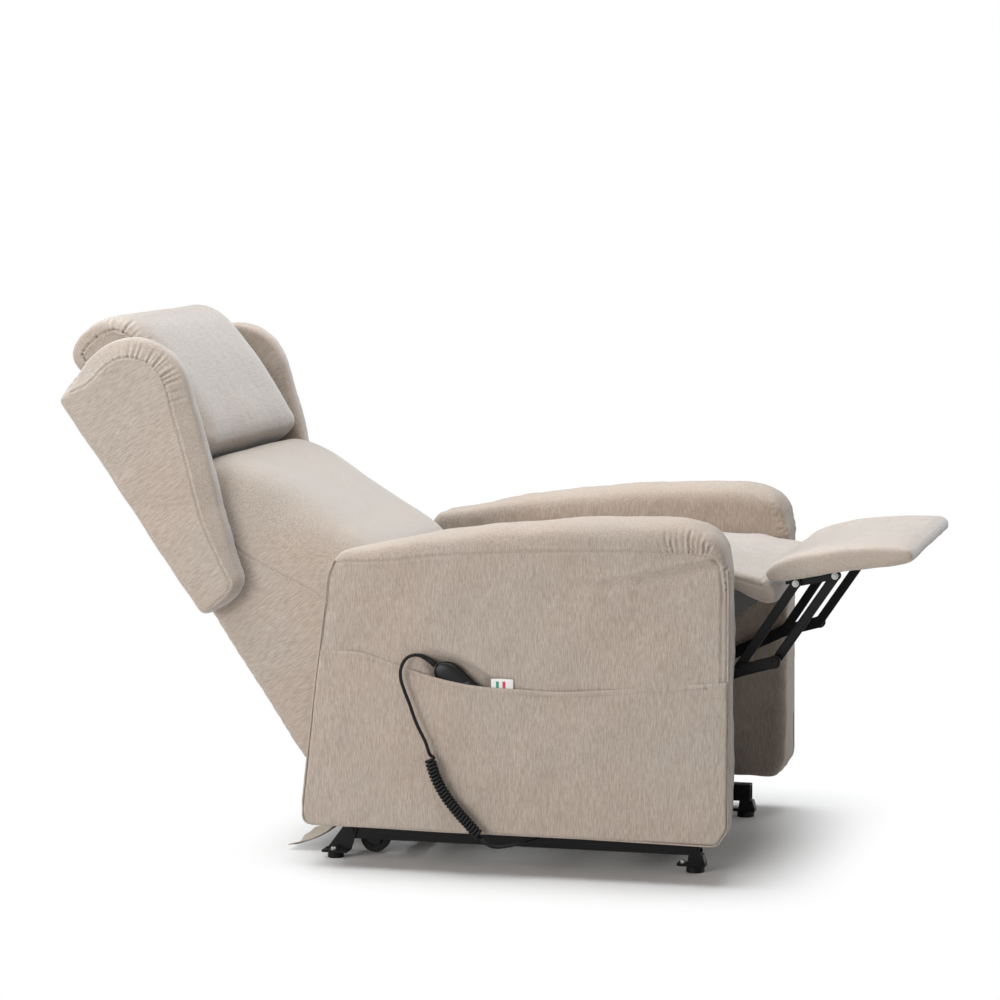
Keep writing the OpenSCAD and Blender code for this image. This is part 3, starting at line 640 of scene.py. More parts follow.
def arm_seam(side):
    """Seam under the padded top, on the outer face, and down its front."""
    return upright(side * (ARM_OUT - 1), *spline(ARM_SEAM, fine=6).T)


def stand_out(p):
    """The near arm's outer front edge stands a little further out than its inner one."""
    q = np.array(p, float)
    q[:, 1] -= (9.5 * eased((-385 - q[:, 1]) / 50) * eased((-q[:, 0] - 285) / 80)
                * eased((600 - q[:, 2]) / 110))
    return q


def near_gathers(rnd):
    """Gathers round the near arm's front corner."""
    x = -ARM_OUT
    for a, end, top in NEAR_TOP:
        middle = (x + 1, (a + end) / 2 + 2, (557 + top) / 2)
        yield [(x - 1, a, 556), middle, (x + 16, end, top)], rnd.uniform(0.9, 3.2)
    for b in NEAR_FRONT:
        end = (x + rnd.uniform(18, 34), -443, b + 8)
        yield [(x + 2, -434, b), (x + 9, -440, b + 3), end], rnd.uniform(0.8, 2.2)


def far_gathers(rnd):
    """Gathers down both sides of the far arm's front, and a fold at its rear."""
    for a, b in FAR_FRONT:
        for x, way in ((ARM_IN, 1), (ARM_OUT, -1)):
            end = (x + rnd.uniform(24, 42) * way, a - 3, b + 6)
            line = [(x + 3 * way, a + 2, b), (x + 16 * way, a - 2, b + 2), end]
            yield line, rnd.uniform(1.2, 3.0)
        inner = [(ARM_IN + 3, a + 2, b), (ARM_IN, a + 12, b - 5), (ARM_IN - 1, a + 24, b - 8)]
        yield inner, rnd.uniform(1.4, 2.6)
    yield [(ARM_IN + 2, 186, 553), (ARM_IN, 176, 558), (ARM_IN, 160, 559), (ARM_IN, 150, 553)], 3.2


def near_side(p):
    """A long fold drawn back from the near arm's front corner, and a dent behind the handset."""
    d, t = from_line(p, [(-ARM_OUT, a, b) for a, b in NEAR_FOLD])
    below = p[:, 2] < np.interp(p[:, 1], *zip(*NEAR_FOLD))
    fold = 2.6 * np.exp(-(d / 7.0) ** 2) - 4.2 * below * np.exp(-((d - 10) / 8.0) ** 2)
    y, z = p[:, 1], p[:, 2] - 330
    c, s = math.cos(math.radians(HANDSET_TILT)), math.sin(math.radians(HANDSET_TILT))
    u, v = y * c + z * s, z * c - y * s
    dent = eased((1.3 - np.hypot((u + 32) / 92, (v + 2) / 32)) / 0.5)
    return (1 - t) ** 0.7 * fold - 15.5 * dent


def arm_body(side, name, node):
    loop = arm_loop()
    r = arm_radii(loop)
    edge = (r * 0.62, np.maximum(r, 6.0), 2, 2)
    o = stuffed(name, loop, (edge, edge), side * ARM_MID, ARM_HALF, upright, voxel=8)

    def base(p):
        h = 0.6 * swell(p, 95, 3 + side) + 0.3 * swell(p, 38, 5 + side)
        h += 1.6 * clamp((p[:, 2] - 545) / 30)
        return h + np.where(p[:, 0] < -350, near_side(p), 0)

    gathers = near_gathers if side < 0 else far_gathers
    worked(o, base, [arm_seam(side)], list(gathers(np.random.default_rng(11))), 2.4)
    set_coords(o, stand_out(coords(o)))
    done(o, "arm", "chassis", "fabric", node)


def arm_piping(side, name):
    """Thin welts round the outer edge of an arm, at the front, rear and foot."""
    loop = arm_loop()
    r = arm_radii(loop)
    x = side * (ARM_OUT - r * 0.29)
    pts = upright(x, *(loop - outward(loop) * (r * 0.26)[:, None]).T)
    pts = stretch(pts, pts[:, 2] < 530)
    o = tube(name, stand_out(spline(pts[::2], fine=3)), 1.9, 8)
    done(o, "arm", "chassis", "fabric")


arm_body(-1, "arm_near", "arm_cover_right")
arm_body(1, "arm_far", "arm_cover_left")
arm_piping(-1, "arm_near_welt")
arm_piping(1, "arm_far_welt")

# Seat and the flap that bridges to the footrest

SEAT = [(86, 492), (60, 512), (-100, 523), (-300, 524), (-400, 520), (-440, 512), (-464, 508),
        (-486, 501), (-500, 491), (-507, 477), (-506, 464), (-498, 458), (-484, 459), (-464, 468),
        (-438, 481), (-412, 484), (-409, 466), (-394, 452), (-170, 451.5), (60, 451.5), (80, 463)]
CUSHION_HALF = 263
RIM = [(40, 503), (-100, 513), (-300, 514), (-430, 503), (-484, 489)]


def make_seat():
    loop = even(spline(SEAT, closed=True), 6)
    top = clamp((loop[:, 1] - 480) / 30) * (loop[:, 0] > -430)
    edge = (5 + soften(top * 5, 4), 14 + soften(top * 26, 4), 2, 2)
    o = stuffed("seat", loop, (edge, edge), 0, CUSHION_HALF, upright)

    def base(p):
        front = clamp((-430 - p[:, 1]) / 40)
        h = 0.9 * swell(p, 110, 21) * (1 - front) + 0.3 * swell(p, 45, 22)
        # The flap's cloth is pulled in below its lip.
        pull = np.sin(p[:, 0] / 17 + 1.5 * np.sin(p[:, 0] / 61))
        return h + front * 1.4 * pull * clamp((478 - p[:, 2]) / 12)

    lip = [(x, -484, 499.5) for x in np.linspace(5 - CUSHION_HALF, CUSHION_HALF - 5, 12)]
    rims = [upright(side * (CUSHION_HALF - 2), *np.transpose(RIM)) for side in (-1, 1)]
    worked(o, base, [lip] + rims)
    done(o, "seat", None, "fabric", "seat_cushion", "knee_flap")
    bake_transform(o)


make_seat()

# Backrest, with outlines of (up along it, forward of it)

BACK_REAR = [(744, 20), (744, 0), (741, -1), (600, -1), (400, -1), (200, -1), (3, -1)]
BACK_MID = [(0, 0), (0, 20), (2, 44), (20, 60), (50, 130), (90, 240), (150, 286), (200, 306),
            (232, 307), (266, 296), (306, 276), (380, 244), (434, 221), (476, 197), (515, 164),
            (531, 124), (536, 80), (550, 52), (600, 45), (700, 43), (741, 42), (744, 39),
            *BACK_REAR]
BACK_SIDE = [(0, 0), (0, 20), (2, 42), (8, 56), (26, 88), (84, 150), (150, 189), (196, 190),
             (222, 183), (250, 168), (290, 146), (356, 106), (410, 96), (470, 90), (512, 84),
             (526, 72), (534, 60), (550, 48), (600, 44), (700, 42), (741, 41), (744, 38),
             *BACK_REAR]
BACK_SEAM = [(398, 97), (356, 107), (300, 139), (222, 182), (196, 190), (150, 189), (84, 151)]
BACK_HALF = 260.5


def paired(mid, rim, n):
    """Two outlines given point for point, as smooth loops of n points each."""
    run = np.linspace(0, len(mid) * 10, n, endpoint=False)
    out = []
    for q in (mid, rim):
        q = spline(q, closed=True)
        q = np.vstack([q, q[:1]])
        out.append(np.stack([np.interp(run, np.arange(len(q)), q[:, a]) for a in (0, 1)], 1))
    return out


def make_back():
    mid, rim = paired(BACK_MID, BACK_SIDE, 290)
    edge = (0, BACK_HALF, 7, 2.4)
    o = stuffed("back_pad", mid, (edge, edge), 0, BACK_HALF, on_back, voxel=8, rim=rim)
    line = spline(BACK_SEAM, fine=5)
    uneven_face = uneven((0.45, 170, 31), (0.15, 50, 32))

    def base(p):
        return (1 - clamp((np.abs(p[:, 0]) - 256) / 4)) * uneven_face(p)

    worked(o, base, [on_back(x, *line.T) for x in (-BACK_HALF, BACK_HALF)])
    done(o, "back", "backrest", "fabric", "back_cushion", "back_panel", "back_side_rails")


HEAD = [(540, 70), (550, 54), (600, 45), (700, 43), (752, 41), (784, 30), (810, 32), (828, 52),
        (835, 82), (835, 110), (824, 142), (792, 166), (712, 179), (630, 179), (568, 174),
        (546, 163), (537, 136)]
HEAD_HALF = 256


def make_head():
    loop = even(spline(HEAD, closed=True), 6)
    n = outward(loop)
    far = soften(clamp((loop[:, 0] - 640) / 150), 4)
    face = soften(((loop[:, 1] > 120) & (loop[:, 0] > 555)).astype(float), 16)
    edges = (5 + 19 * face, 24 + 40 * face, 2, 2), (9 + 22 * face, 20 + 62 * face, 2, 2)
    o = stuffed("head_pad", loop, edges, 0, HEAD_HALF, on_back, voxel=8)
    rnd = np.random.default_rng(13)
    seams, gathers = [], []
    for side in (-1, 1):
        ring = on_back(side * (HEAD_HALF - 1), *(loop - n * (19 + 7 * far)[:, None]).T)
        seams.append(np.vstack([ring, ring[:1]]))
        for i in around(loop[:, 0] > 690, rnd, 4.2):
            inset = 18 + 7 * far[i]
            spots = (HEAD_HALF - 1, inset), (HEAD_HALF - 9, inset * 0.4), (rnd.uniform(216, 236), 1)
            line = [on_back(side * x, *(loop[i] - n[i] * back)) for x, back in spots]
            gathers.append((line, rnd.uniform(0.8, 3.6)))
    worked(o, uneven((0.4, 180, 51), (0.12, 40, 52)), seams, gathers, 2.8)
    done(o, "head", "backrest", "fabric", "head_cushion")


WING = [(751, -13), (762, 10), (771, 38), (781, 66), (786, 100), (782, 132), (766, 163),
        (741, 186), (714, 200), (688, 204), (656, 200), (609, 184), (541, 162), (484, 142),
        (418, 119), (370, 103), (338, 94), (318, 88), (305, 72), (299, 44), (300, 14), (304, -2),
        (316, -6)]
WING_MID, WING_HALF = 283.3, 26


def make_wing(side, name, node):
    front = spline(WING, fine=6)
    rear = np.array([(s, -6 - 7 * (s - 316) / 434) for s in np.linspace(330, 738, 20)])
    loop = even(np.vstack([front, rear]), 5)
    n = outward(loop)
    s, f = loop.T
    low = clamp((s - 300) / 130)
    rim = soften(clamp(f / 50) * (4 + 22 * low) + 6, 5)
    outer, inner = (rim, 17, 1.15, 1.0), (9, 12, 2, 2)
    edges = (outer, inner) if side < 0 else (inner, outer)
    o = stuffed(name, loop, edges, side * WING_MID, WING_HALF, on_back, voxel=6)
    face = side * (WING_MID + WING_HALF)
    ring = on_back(face, *(loop - n * (rim + 1)[:, None]).T)
    rnd = np.random.default_rng(17)
    gathers = []
    for i in around((s > 625) & (f > 140) | (s > 745) & (f > 60), rnd, 4.6):
        spots = (0, rim[i]), (6, rim[i] * 0.6), (rnd.uniform(10, 20), rnd.uniform(0, 6))
        line = [on_back(face - side * x, *(loop[i] - n[i] * back)) for x, back in spots]
        gathers.append((line, rnd.uniform(0.7, 3.6) * min(1, (f[i] - 30) / 120)))
    seams = [stretch(ring, (f > 14) | (s > 764))]
    worked(o, uneven((0.5, 90, 61 + side), (0.25, 40, 63)), seams, gathers, 2.8)
    done(o, "back", "backrest", "fabric", node)


make_back()
make_head()
make_wing(-1, "wing_near", "wing_right")
make_wing(1, "wing_far", "wing_left")

# Footrest, with outlines of (back along it, up from it)

PAD_MID = [(44, 14), (47, 25), (36, 38), (6, 47), (-48, 51), (-110, 48), (-170, 41), (-196, 33),
           (-202, 24), (-200, 13), (-190, 9.6), (-60, 9.6), (36, 9.6)]
PAD_SIDE = [(42, 14), (44, 24), (32, 33), (4, 40), (-48, 43), (-110, 42), (-168, 37), (-192, 31),
            (-198, 24), (-197, 13), (-188, 10), (-60, 10), (34, 10)]


def make_pad():
    mid, rim = paired(PAD_MID, PAD_SIDE, 150)
    edge = (0, 30.0, 2, 2)
    o = stuffed("foot_pad", mid, (edge, edge), 0, CUSHION_HALF, on_foot, voxel=5.5, rim=rim)
    worked(o, uneven((0.5, 100, 71), (0.2, 45, 72)))
    done(o, "foot", "footrest", "fabric", "footrest_pad")


make_pad()

# Handset cord

CORD_RADIUS, COIL_RADIUS, COIL_TURNS = 2.9, 7.4, 25
GROMMET = -347, -128


def even_line(line, n):
    return at_lengths(line, np.linspace(0, lengths(line)[-1], n))


def cord_path():
    """The cord's middle line: out of the handset, down its coil, and in under the arm."""
    lead = spline([(-372.5, 51, 357.5), (-374, 60, 364), (-380, 74, 371.5), (-387, 90, 369),
                   (-390, 100, 356), (-392, 102.6, 337), (-392.5, 95.4, 312), (-392.5, 86.5, 290),
                   (-392.5, 79.5, 270), (-392.5, 70, 248), (-392.5, 60, 229), (-392.5, 54, 212)])
    axis = [(54, 212), (49, 189), (40, 164), (25, 138), (5, 113), (-18.5, 88), (-41, 64)]
    axis = spline([(-392.55, y, z) for y, z in axis], fine=40)
    tail = spline([(-392.5, -41, 64), (-391.5, -50, 57), (-388, -63, 54.5), (-382, -80, 56),
                   (-372, -98, 59), (-360, -114, 62), (-351, -124, 65.5), (*GROMMET, 70.2)])
    at = np.linspace(0, lengths(axis)[-1], 4000)
    c = at_lengths(axis, at)
    side = np.array([1.0, 0, 0])
    up = unit(np.cross(np.gradient(c, axis=0), side))
    # The coil opens out at both ends, so that the cord enters and leaves it in wide bends.
    inside = np.minimum(at, at[-1] - at)
    rate = eased(inside / 20) ** 2
    angle = math.tau * COIL_TURNS * np.cumsum(rate) / rate.sum()
    r = COIL_RADIUS * eased(inside / 15)
    coil = c + (r * np.cos(angle))[:, None] * side + (r * np.sin(angle))[:, None] * up
    path = np.vstack([lead[:-1], coil[1:-1], tail])
    path = even_line(path, int(lengths(path)[-1] / 2.4))
    for _ in range(3):
        path[1:-1] = path[1:-1] * 0.6 + (path[:-2] + path[2:]) * 0.2
    return path


def make_cord(path):
    o = tube("handset_cord", path, CORD_RADIUS, 12)
    done(o, "rubber", "chassis", "rubber", "cord_lead", "cord_curl", "cord_tail")
    length = float(lengths(path)[-1]) * MM


CORD = cord_path()
make_cord(CORD)

# Pocket


def pocket_top(y):
    """Height of the pocket's mouth."""
    edge = spline([(-440, 344), (-330, 331), (-240, 323), (-170, 318), (-100, 319), (-20, 323),
                   (40, 333), (110, 352), (180, 372), (250, 372)], fine=8)
    return np.interp(y, edge[:, 0], edge[:, 1])


def make_pocket():
    nu, nv, thick = 150, 64, 1.4
    foot, start, reach = 74, -437.5, 714
    u = np.linspace(0, 1, nu)[:, None]
    v = np.linspace(0, 1, nv)[None, :]
    # Its lower corners are cut off and rounded with the arm's.
    y = start + reach * u + 0 * v
    for _ in range(4):
        z = foot + v * (pocket_top(y) - foot)
        front = start + 15.5 * clamp((101 - z) / 27)
        rear = np.interp(z, [73, 76, 80, 86, 98, 110, 320, 380],
                         [262, 268, 273, 276, 278, 277, 253.5, 246])
        y = front + u * (rear - front)
    mouth = clamp((y + 300) / 90) * clamp((150 - y) / 90)
    edge = clamp(u / 0.04) * clamp((1 - u) / 0.04) * clamp(v / 0.06)
    bulge = edge * (0.4 + 2.6 * mouth * clamp((z - 110) / 160))
    hand = np.exp(-((y - 2) / 62) ** 2 - ((z - 318) / 46) ** 2) * 2.6
    waves = uneven((0.5, 80, 81), (0.25, 34, 82))(np.stack([0 * y, y, z], 2).reshape(-1, 3))
    x = -(ARM_OUT + 0.9 + np.maximum(bulge + hand * edge + waves.reshape(nu, nv) * edge, 0))
    outer = np.stack([x, y, z], 2)
    # The mouth's edge is rolled over to the inside.
    lip = outer[:, -1:] + (0.2 + thick / 2, 0, 0.9)
    rows = np.concatenate([outer, lip, outer[:, ::-1] + (thick, 0, 0)], 1)
    m = rows.shape[1]
    faces = skin(nu, m, caps=False)
    for i in (0, nu - 1):
        for j in range(m // 2):
            q = tuple(dict.fromkeys(i * m + k for k in (j, j + 1, m - 2 - j, m - 1 - j)))
            faces.append(q if i else q[::-1])
    o = smooth(new_mesh("pocket", stand_out(rows.reshape(-1, 3)), faces))
    done(o, "arm", "chassis", "fabric", "side_pocket")
    hem = outer[6:-6:2, -1] + (-0.1, 0, -7)
    done(tube("pocket_hem", stand_out(hem), 0.7, 6), "arm", "chassis", "fabric")


make_pocket()

# Handset, the cord's relief and grommet, the label and the rear valance


def make_handset():
    """A rounded shell in two halves, with a joint line round its middle."""
    length, half_t, middle, stations = 150, 10, -369, 74
    top = spline([(0, 1), (2, 7), (8, 14), (19, 19), (32, 20.3), (46, 18.8), (64, 16.5),
                  (90, 15.5), (118, 14.5), (139, 10), (148, 3), (150, -3)], fine=8)
    low = spline([(0, 1.8), (1.5, -8), (8, -16), (22, -21), (60, -22), (110, -21.5),
                  (135, -17.5), (147, -10), (150, -3.2)], fine=8)
    joints = [q * math.pi / 2 + e for q in (1, 3) for e in (-0.05, -0.024, 0.024, 0.05)]
    turn = np.sort(np.r_[np.linspace(0, math.tau, 56, endpoint=False), joints])
    across, up = (np.sign(w) * np.abs(w) ** (2 / 2.7) for w in (np.cos(turn), np.sin(turn)))
    joint = 0.45 * (np.abs(across) < 0.085)
    rings = []
    for s in length / 2 * (1 - np.cos(np.linspace(0.03, math.pi - 0.03, stations))):
        a, b = np.interp(s, *top.T), np.interp(s, *low.T)
        thick = half_t * (1 - abs(s / (length / 2) - 1) ** 5) ** 0.25
        height = (a + b) / 2 + ((a - b) / 2 - joint) * up
        rings.append(on_handset(middle + thick * across, s, -height))
    o = smooth(new_mesh("handset", np.vstack(rings), skin(stations, len(turn))))
    done(o, "plastic", "chassis", "plastic", "handset_shell")


def make_relief(path):
    """The ribbed relief on the handset's cord end, and the grommet under the arm."""
    at = np.linspace(0, 27, 46)
    line = at_lengths(path, at)
    start = line[0] - 5 * unit(line[3] - line[0])
    rib = 0.42 * (np.sin(at * math.tau / 3.4) > 0.3) * (at > 6)
    r = np.r_[5.0, 4.9 - 1.5 * at / 27 - rib]
    points, faces = tube_mesh(np.vstack([start, line]), r, 18)
    drop = [(*GROMMET, z) for z in (69.2, 69.5, 70.2, 71.2, 71.9)]
    more, rest = tube_mesh(drop, np.array([3.2, 5.4, 6.0, 6.0, 5.6]), 28)
    faces += [tuple(len(points) + k for k in f) for f in rest]
    o = smooth(new_mesh("lead_relief", np.vstack([points, more]), faces))
    done(o, "rubber", "chassis", "rubber", "cord_glands")


def cloth(name, grid, thick):
    """A sheet of even thickness, from a grid of points on its outer face, and a 1 for each face
    on its inner side."""
    nu, nv = grid.shape[:2]
    n = unit(np.cross(np.gradient(grid, axis=0), np.gradient(grid, axis=1)))
    back = nu * nv
    at = np.arange(back).reshape(nu, nv)
    face = np.stack([at[:-1, :-1], at[1:, :-1], at[1:, 1:], at[:-1, 1:]], 2).reshape(-1, 4)
    ring = np.r_[at[:, 0], at[-1, 1:], at[-2::-1, -1], at[0, -2:0:-1]]
    edge = np.stack([np.roll(ring, -1), ring, back + ring, back + np.roll(ring, -1)], 1)
    faces = np.vstack([face, back + face[:, ::-1], edge]).tolist()
    points = np.vstack([grid.reshape(-1, 3), (grid - n * thick).reshape(-1, 3)])
    inner = np.repeat([0, 1, 0], [len(face), len(face), len(edge)])
    return smooth(new_mesh(name, points, faces)), inner


def make_label():
    """A blank ribbon sewn in under the pocket's mouth, with two plain bars."""
    u, v = np.linspace(-1, 1, 28)[:, None], np.linspace(0, 1, 18)[None, :]
    y = -69 - 19 * u + 0 * v
    z = 302.5 + 34 * v - 0.6 * v * u ** 2
    x = -(ARM_OUT + 2.3 + 1.5 * v ** 2 + 0.5 * np.cos(2.2 * u + 0.4) * v)
    o, _ = cloth("label", np.stack([x, y, z], 2), 0.5)
    done(o, "ribbon", "chassis", "lining", "label_tag")


def make_valance():
    """A loose cloth below the backrest, with its hem near the floor."""
    line = spline([(254, 137), (254.5, 110), (257, 62), (267, 44), (300, 21), (346, 4.5)])
    columns, rows = 150, 72
    line = even_line(line, rows)
    t = np.linspace(0, 1, rows)[None, :]
    half = 258 - 16 * clamp((t - 0.12) / 0.06)
    x = np.linspace(1, -1, columns)[:, None] * half
    d = np.gradient(line, axis=0)
    n = unit(np.stack([-d[:, 1], d[:, 0]], 1))
    loose = clamp((t - 0.3) / 0.7) ** 1.4
    wave = loose * (3.4 * np.sin(x / 29 + 1.1 * np.sin(x / 83)) + 1.6 * np.sin(x / 11.5 + 2))
    out = wave + clamp((np.abs(x) - 190) / 52) ** 2 * loose * 7
    y, z = (line[None, :, k] + n[None, :, k] * out for k in (0, 1))
    o, inner = cloth("valance", np.stack([x, y, np.maximum(z, 2.2)], 2), 1.6)
    done(o, "arm", "chassis", "fabric", "rear_valance")
    o.data.materials.append(F["lining"])
    o.data.polygons.foreach_set("material_index", inner)


make_handset()
make_relief(CORD)
make_label()
make_valance()

# Bolts, rivets and pressed beads, made by Geometry Nodes


class Plan(Graph):
    """A Geometry Nodes tree with named inputs."""

    def __init__(self, name, sizes):
        super().__init__(bpy.data.node_groups.new(name, "GeometryNodeTree"))

        def socket(key, kind, way="INPUT"):
            return self.tree.interface.new_socket(key, in_out=way, socket_type="NodeSocket" + kind)

        socket("Points", "Geometry")
        for key, size in sizes.items():
            socket(key, "Int" if isinstance(size, int) else "Float").default_value = size
        socket("Finish", "Material")
        socket("Mesh", "Geometry", "OUTPUT")
        given = self.tree.nodes.new("NodeGroupInput")
        self.given = {s.name: Wire(self, s) for s in given.outputs}

    def end(self, mesh):
        mesh = self.node("GeometryNodeRealizeInstances", None, {0: mesh})
        mesh = self.node("GeometryNodeSetMaterial", None,
                         {"Geometry": mesh, "Material": self.given["Finish"]})
        self.node("NodeGroupOutput", None, {0: mesh})
        return self.tree


def bolt_plan():
    """A head on a washer at each point, standing along the point's own direction."""
    p = Plan("bolts", {"Head": 0.0055, "Height": 0.0042, "Top": 0.0048, "Washer": 0.0078,
                       "Sides": 6})

    def disc(sides, top, bottom, depth):
        return p.node("GeometryNodeMeshCone", {"fill_type": "NGON"}, {
            "Vertices": sides, "Radius Top": top, "Radius Bottom": bottom, "Depth": depth}, "Mesh")

    g = p.given
    head = disc(g["Sides"], g["Top"], g["Head"], g["Height"])
    both = p.node("GeometryNodeJoinGeometry", None,
                  {0: [head, disc(28, g["Washer"], g["Washer"], 0.0013)]})
    way = p.node("GeometryNodeInputNamedAttribute", {"data_type": "FLOAT_VECTOR"},
                 {"Name": "way"}, "Attribute")
    turn = p.node("FunctionNodeAlignRotationToVector", {"axis": "Z"}, {"Vector": way})
    return p.end(p.node("GeometryNodeInstanceOnPoints", None, {
        "Points": g["Points"], "Instance": both, "Rotation": turn}))


def bead_plan():
    """A round bead along each edge."""
    p = Plan("beads", {"Radius": 0.0014})
    line = p.node("GeometryNodeMeshToCurve", None, {"Mesh": p.given["Points"]})
    ring = p.node("GeometryNodeCurvePrimitiveCircle", None,
                  {"Resolution": 10, "Radius": p.given["Radius"]}, "Curve")
    return p.end(p.node("GeometryNodeCurveToMesh", None, {
        "Curve": line, "Profile Curve": ring, "Fill Caps": True}))


def grown(name, tree, points, edges, finish, body, slot, ways=(), nodes=(), **sizes):
    """A mesh grown by a tree from points in millimetres."""
    o = new_mesh(name, points, [], edges)
    if ways:
        way = o.data.attributes.new("way", "FLOAT_VECTOR", "POINT")
        way.data.foreach_set("vector", np.array(ways, float).ravel())
    m = o.modifiers.new("grow", "NODES")
    m.node_group = tree
    given = dict(sizes, Finish=F[finish])
    for item in tree.interface.items_tree:
        if item.in_out == "INPUT" and item.name in given:
            m[item.identifier] = given[item.name]
    bake(o)
    done(o, finish, body, slot, *nodes)


def both_sides(spots):
    """Each (x, y, z, way) on both sides of the chair; the way's x turns with the side."""
    both = [(side, spot) for side in (-1, 1) for spot in spots]
    return ([(side * x, y, z) for side, (x, y, z, _) in both],
            [(side * way[0], way[1], way[2]) for side, (_, _, _, way) in both])


def edge_lines(runs, x, width, trim):
    """Lines along both edges of bars from point to point, on both sides of the chair."""
    pts = []
    for side in (-1, 1):
        for a, b, cut_a, cut_b in runs:
            a, b = np.array(a, float), np.array(b, float)
            d = unit(b - a)
            for off in (trim - width / 2, width / 2 - trim):
                for q in (a + d * cut_a, b - d * cut_b):
                    pts.append((side * x, q[0] - d[1] * off, q[1] + d[0] * off))
    return pts, [(k, k + 1) for k in range(0, len(pts), 2)]


def make_fixings():
    out, up = (1, 0, 0), (0, 0, 1)
    bolts, beads = bolt_plan(), bead_plan()
    pts, ways = both_sides([(260.0, -374, 43, out), (264.0, 226, 46, out)])
    grown("rail_bolts", bolts, pts, [], "steel", "base", "frame_steel", ways, Height=0.0045)
    pts, ways = both_sides([(247.5, -351, 15, up), (280, 254, 14, up)])
    grown("foot_bolts", bolts, pts, [], "zinc", "base", "zinc", ways, ["base_bolts"],
          Head=0.005, Top=0.0042, Washer=0.0068)
    pts, ways = both_sides([(249.4, *HEEL, out), (244.4, *TOE, out)])
    grown("footrest_nuts", bolts, pts, [], "zinc", "footrest", "zinc", ways,
          Head=0.0046, Top=0.0036, Height=0.005, Washer=0.0058)
    pts, ways = both_sides([(256.2, *KNEE, out), (256.2, *SHIN, out)])
    grown("link_rivets", bolts, pts, [], "steel", "thigh", "frame_steel", ways,
          Head=0.0062, Top=0.0042, Height=0.0028, Washer=0.0076, Sides=26)
    for name, body, bars, x, width, trim, radius in (
            ("rear_link_beads", "rear_leg", [(KNEE, HEEL, 30, 14)], 247.7, 17, 1.8, 0.0014),
            ("front_link_beads", "front_leg", [(SHIN, TOE, 12, 14)], 233.9, 17, 1.8, 0.0015),
            ("thigh_beads", "thigh", [(LEG, KNEE, 20, 14), (KNEE, SHIN, 14, 14)], 253.1, 22, 2.2,
             0.0015)):
        pts, edges = edge_lines(bars, x, width, trim)
        grown(name, beads, pts, edges, "steel", body, "frame_steel", Radius=radius)


make_fixings()

# Remaining CAD pieces

LOOK = {
    ("steel", "frame_steel"): [
        "base_rail_left", "base_rail_right", "base_cross_tubes", "base_feet", "lift_brackets",
        "wheel_axles", "lift_torque_tube", "lift_arms", "front_links", "chassis_plate_left",
        "chassis_plate_right", "chassis_front_tube", "chassis_rear_tube", "back_brackets",
        "leg_drive_tube", "lower_leg_links", "rear_leg_links", "front_leg_links",
        "footrest_brackets"],
    ("zinc", "zinc"): ["seat_springs", "lift_rod", "recline_rod", "leg_rod"],
    ("timber", "timber"): [
        "seat_side_rails", "seat_rear_rail", "arm_panels", "back_cross_rails", "footrest_board"],
    ("plastic", "plastic"): ["lift_motor", "recline_motor", "leg_motor", "control_box"],
    ("rubber", "rubber"): ["foot_glides", "wheel_left", "wheel_right"],
    ("button", "button"): [
        "button_back_up", "button_back_down", "button_lift_up", "button_lift_down"],
    # The seat's front rail wears the darkened cloth, as painted shade under the flap.
    ("under", "fabric"): ["seat_front_rail"],
}
for (look, slot), names in LOOK.items():
    for name in names:
        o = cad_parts[name]
        o.data.materials.clear()
        done(o, look, None, slot)


def cover_hinges():
    """The hinge plates lie under the cloth of the backrest's sides."""
    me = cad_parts["back_brackets"].data
    me.materials.append(F["back"])
    for f in me.polygons:
        if abs(f.center.x) > 0.256:
            f.material_index = 1


cover_hinges()

# Floor and surroundings

WHITE = (1, 1, 1, 1)


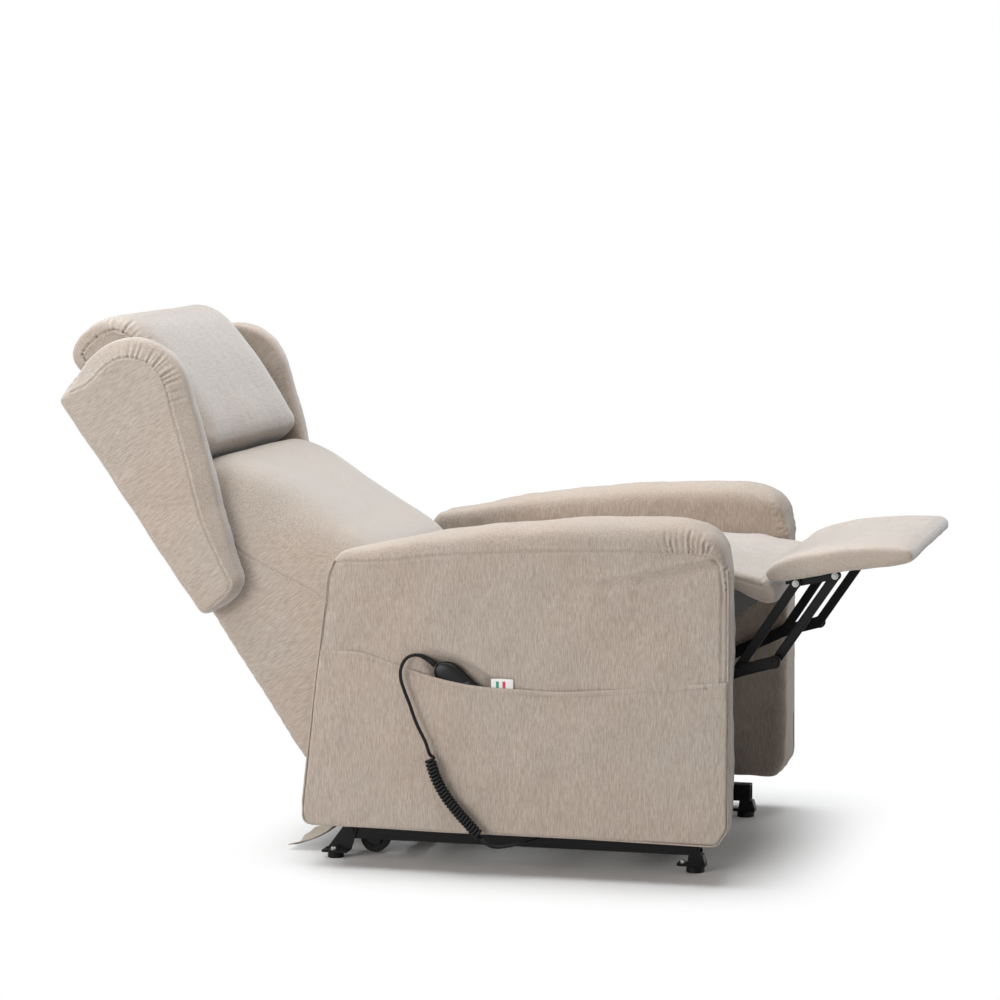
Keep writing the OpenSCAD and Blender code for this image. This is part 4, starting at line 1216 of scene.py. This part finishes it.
def direct(graph):
    """1 where the camera looks, straight or by way of a mirror or glass, and 0 for other light."""
    camera, mirror, glass = (graph.node("ShaderNodeLightPath", out=f"Is {kind} Ray")
                             for kind in ("Camera", "Glossy", "Transmission"))
    return camera + mirror + glass


def make_floor():
    sides = 48
    turn = [math.tau * i / sides for i in range(sides)]
    pts = [(r * math.cos(a), r * math.sin(a), 0) for r in (14.0, 5.0, 2.2, 1.0) for a in turn]
    faces = skin(4, sides, caps=False) + [range(3 * sides, 4 * sides)]
    o = new_mesh("floor", pts, faces, scale=1)
    f = Finish("floor")
    p = f.place()
    # Distance outside a rectangle round the object.
    middle, half = (0.035, -0.09, 0), (0.415, 0.31, 0)
    off = f.vector("ABSOLUTE", f.vector("SUBTRACT", p, middle))
    out = f.vector("SUBTRACT", off, half)
    d = f.vector("LENGTH", f.vector("MAXIMUM", out), out=1)
    grain = f.noise(p, 60.0, 2.0)
    # Seen as white paper, it throws back less light onto the object.
    seen = f.node("ShaderNodeLightPath", out="Is Camera Ray")
    paper = f.node("ShaderNodeBsdfPrincipled", None, {
        "Base Color": f.mix(seen, (0.7, 0.7, 0.7, 1), (0.9, 0.9, 0.9, 1)),
        "Roughness": (grain - 0.5) * 0.1 + 0.62, "Specular IOR Level": 0.25,
        "Emission Color": WHITE, "Emission Strength": 0.02})
    blank = f.node("ShaderNodeEmission", None, {"Color": WHITE, "Strength": 1.0})
    both = f.node("ShaderNodeMixShader", None,
                  {0: d.step(0.0, 0.25) * direct(f), 1: paper, 2: blank})
    f.node("ShaderNodeOutputMaterial", None, {"Surface": both})
    o.data.materials.append(f.mat)


def make_world():
    """Dim light from all round, in front of a white backdrop."""
    world = bpy.data.worlds.new("studio")
    bpy.context.scene.world = world
    world.use_nodes = True
    g = Graph(world.node_tree)
    light, backdrop = (g.node("ShaderNodeBackground", None, {"Color": WHITE, "Strength": s})
                       for s in (0.14, 1.0))
    both = g.node("ShaderNodeMixShader", None, {0: direct(g), 1: light, 2: backdrop})
    g.node("ShaderNodeOutputWorld", None, {"Surface": both})


make_floor()
make_world()
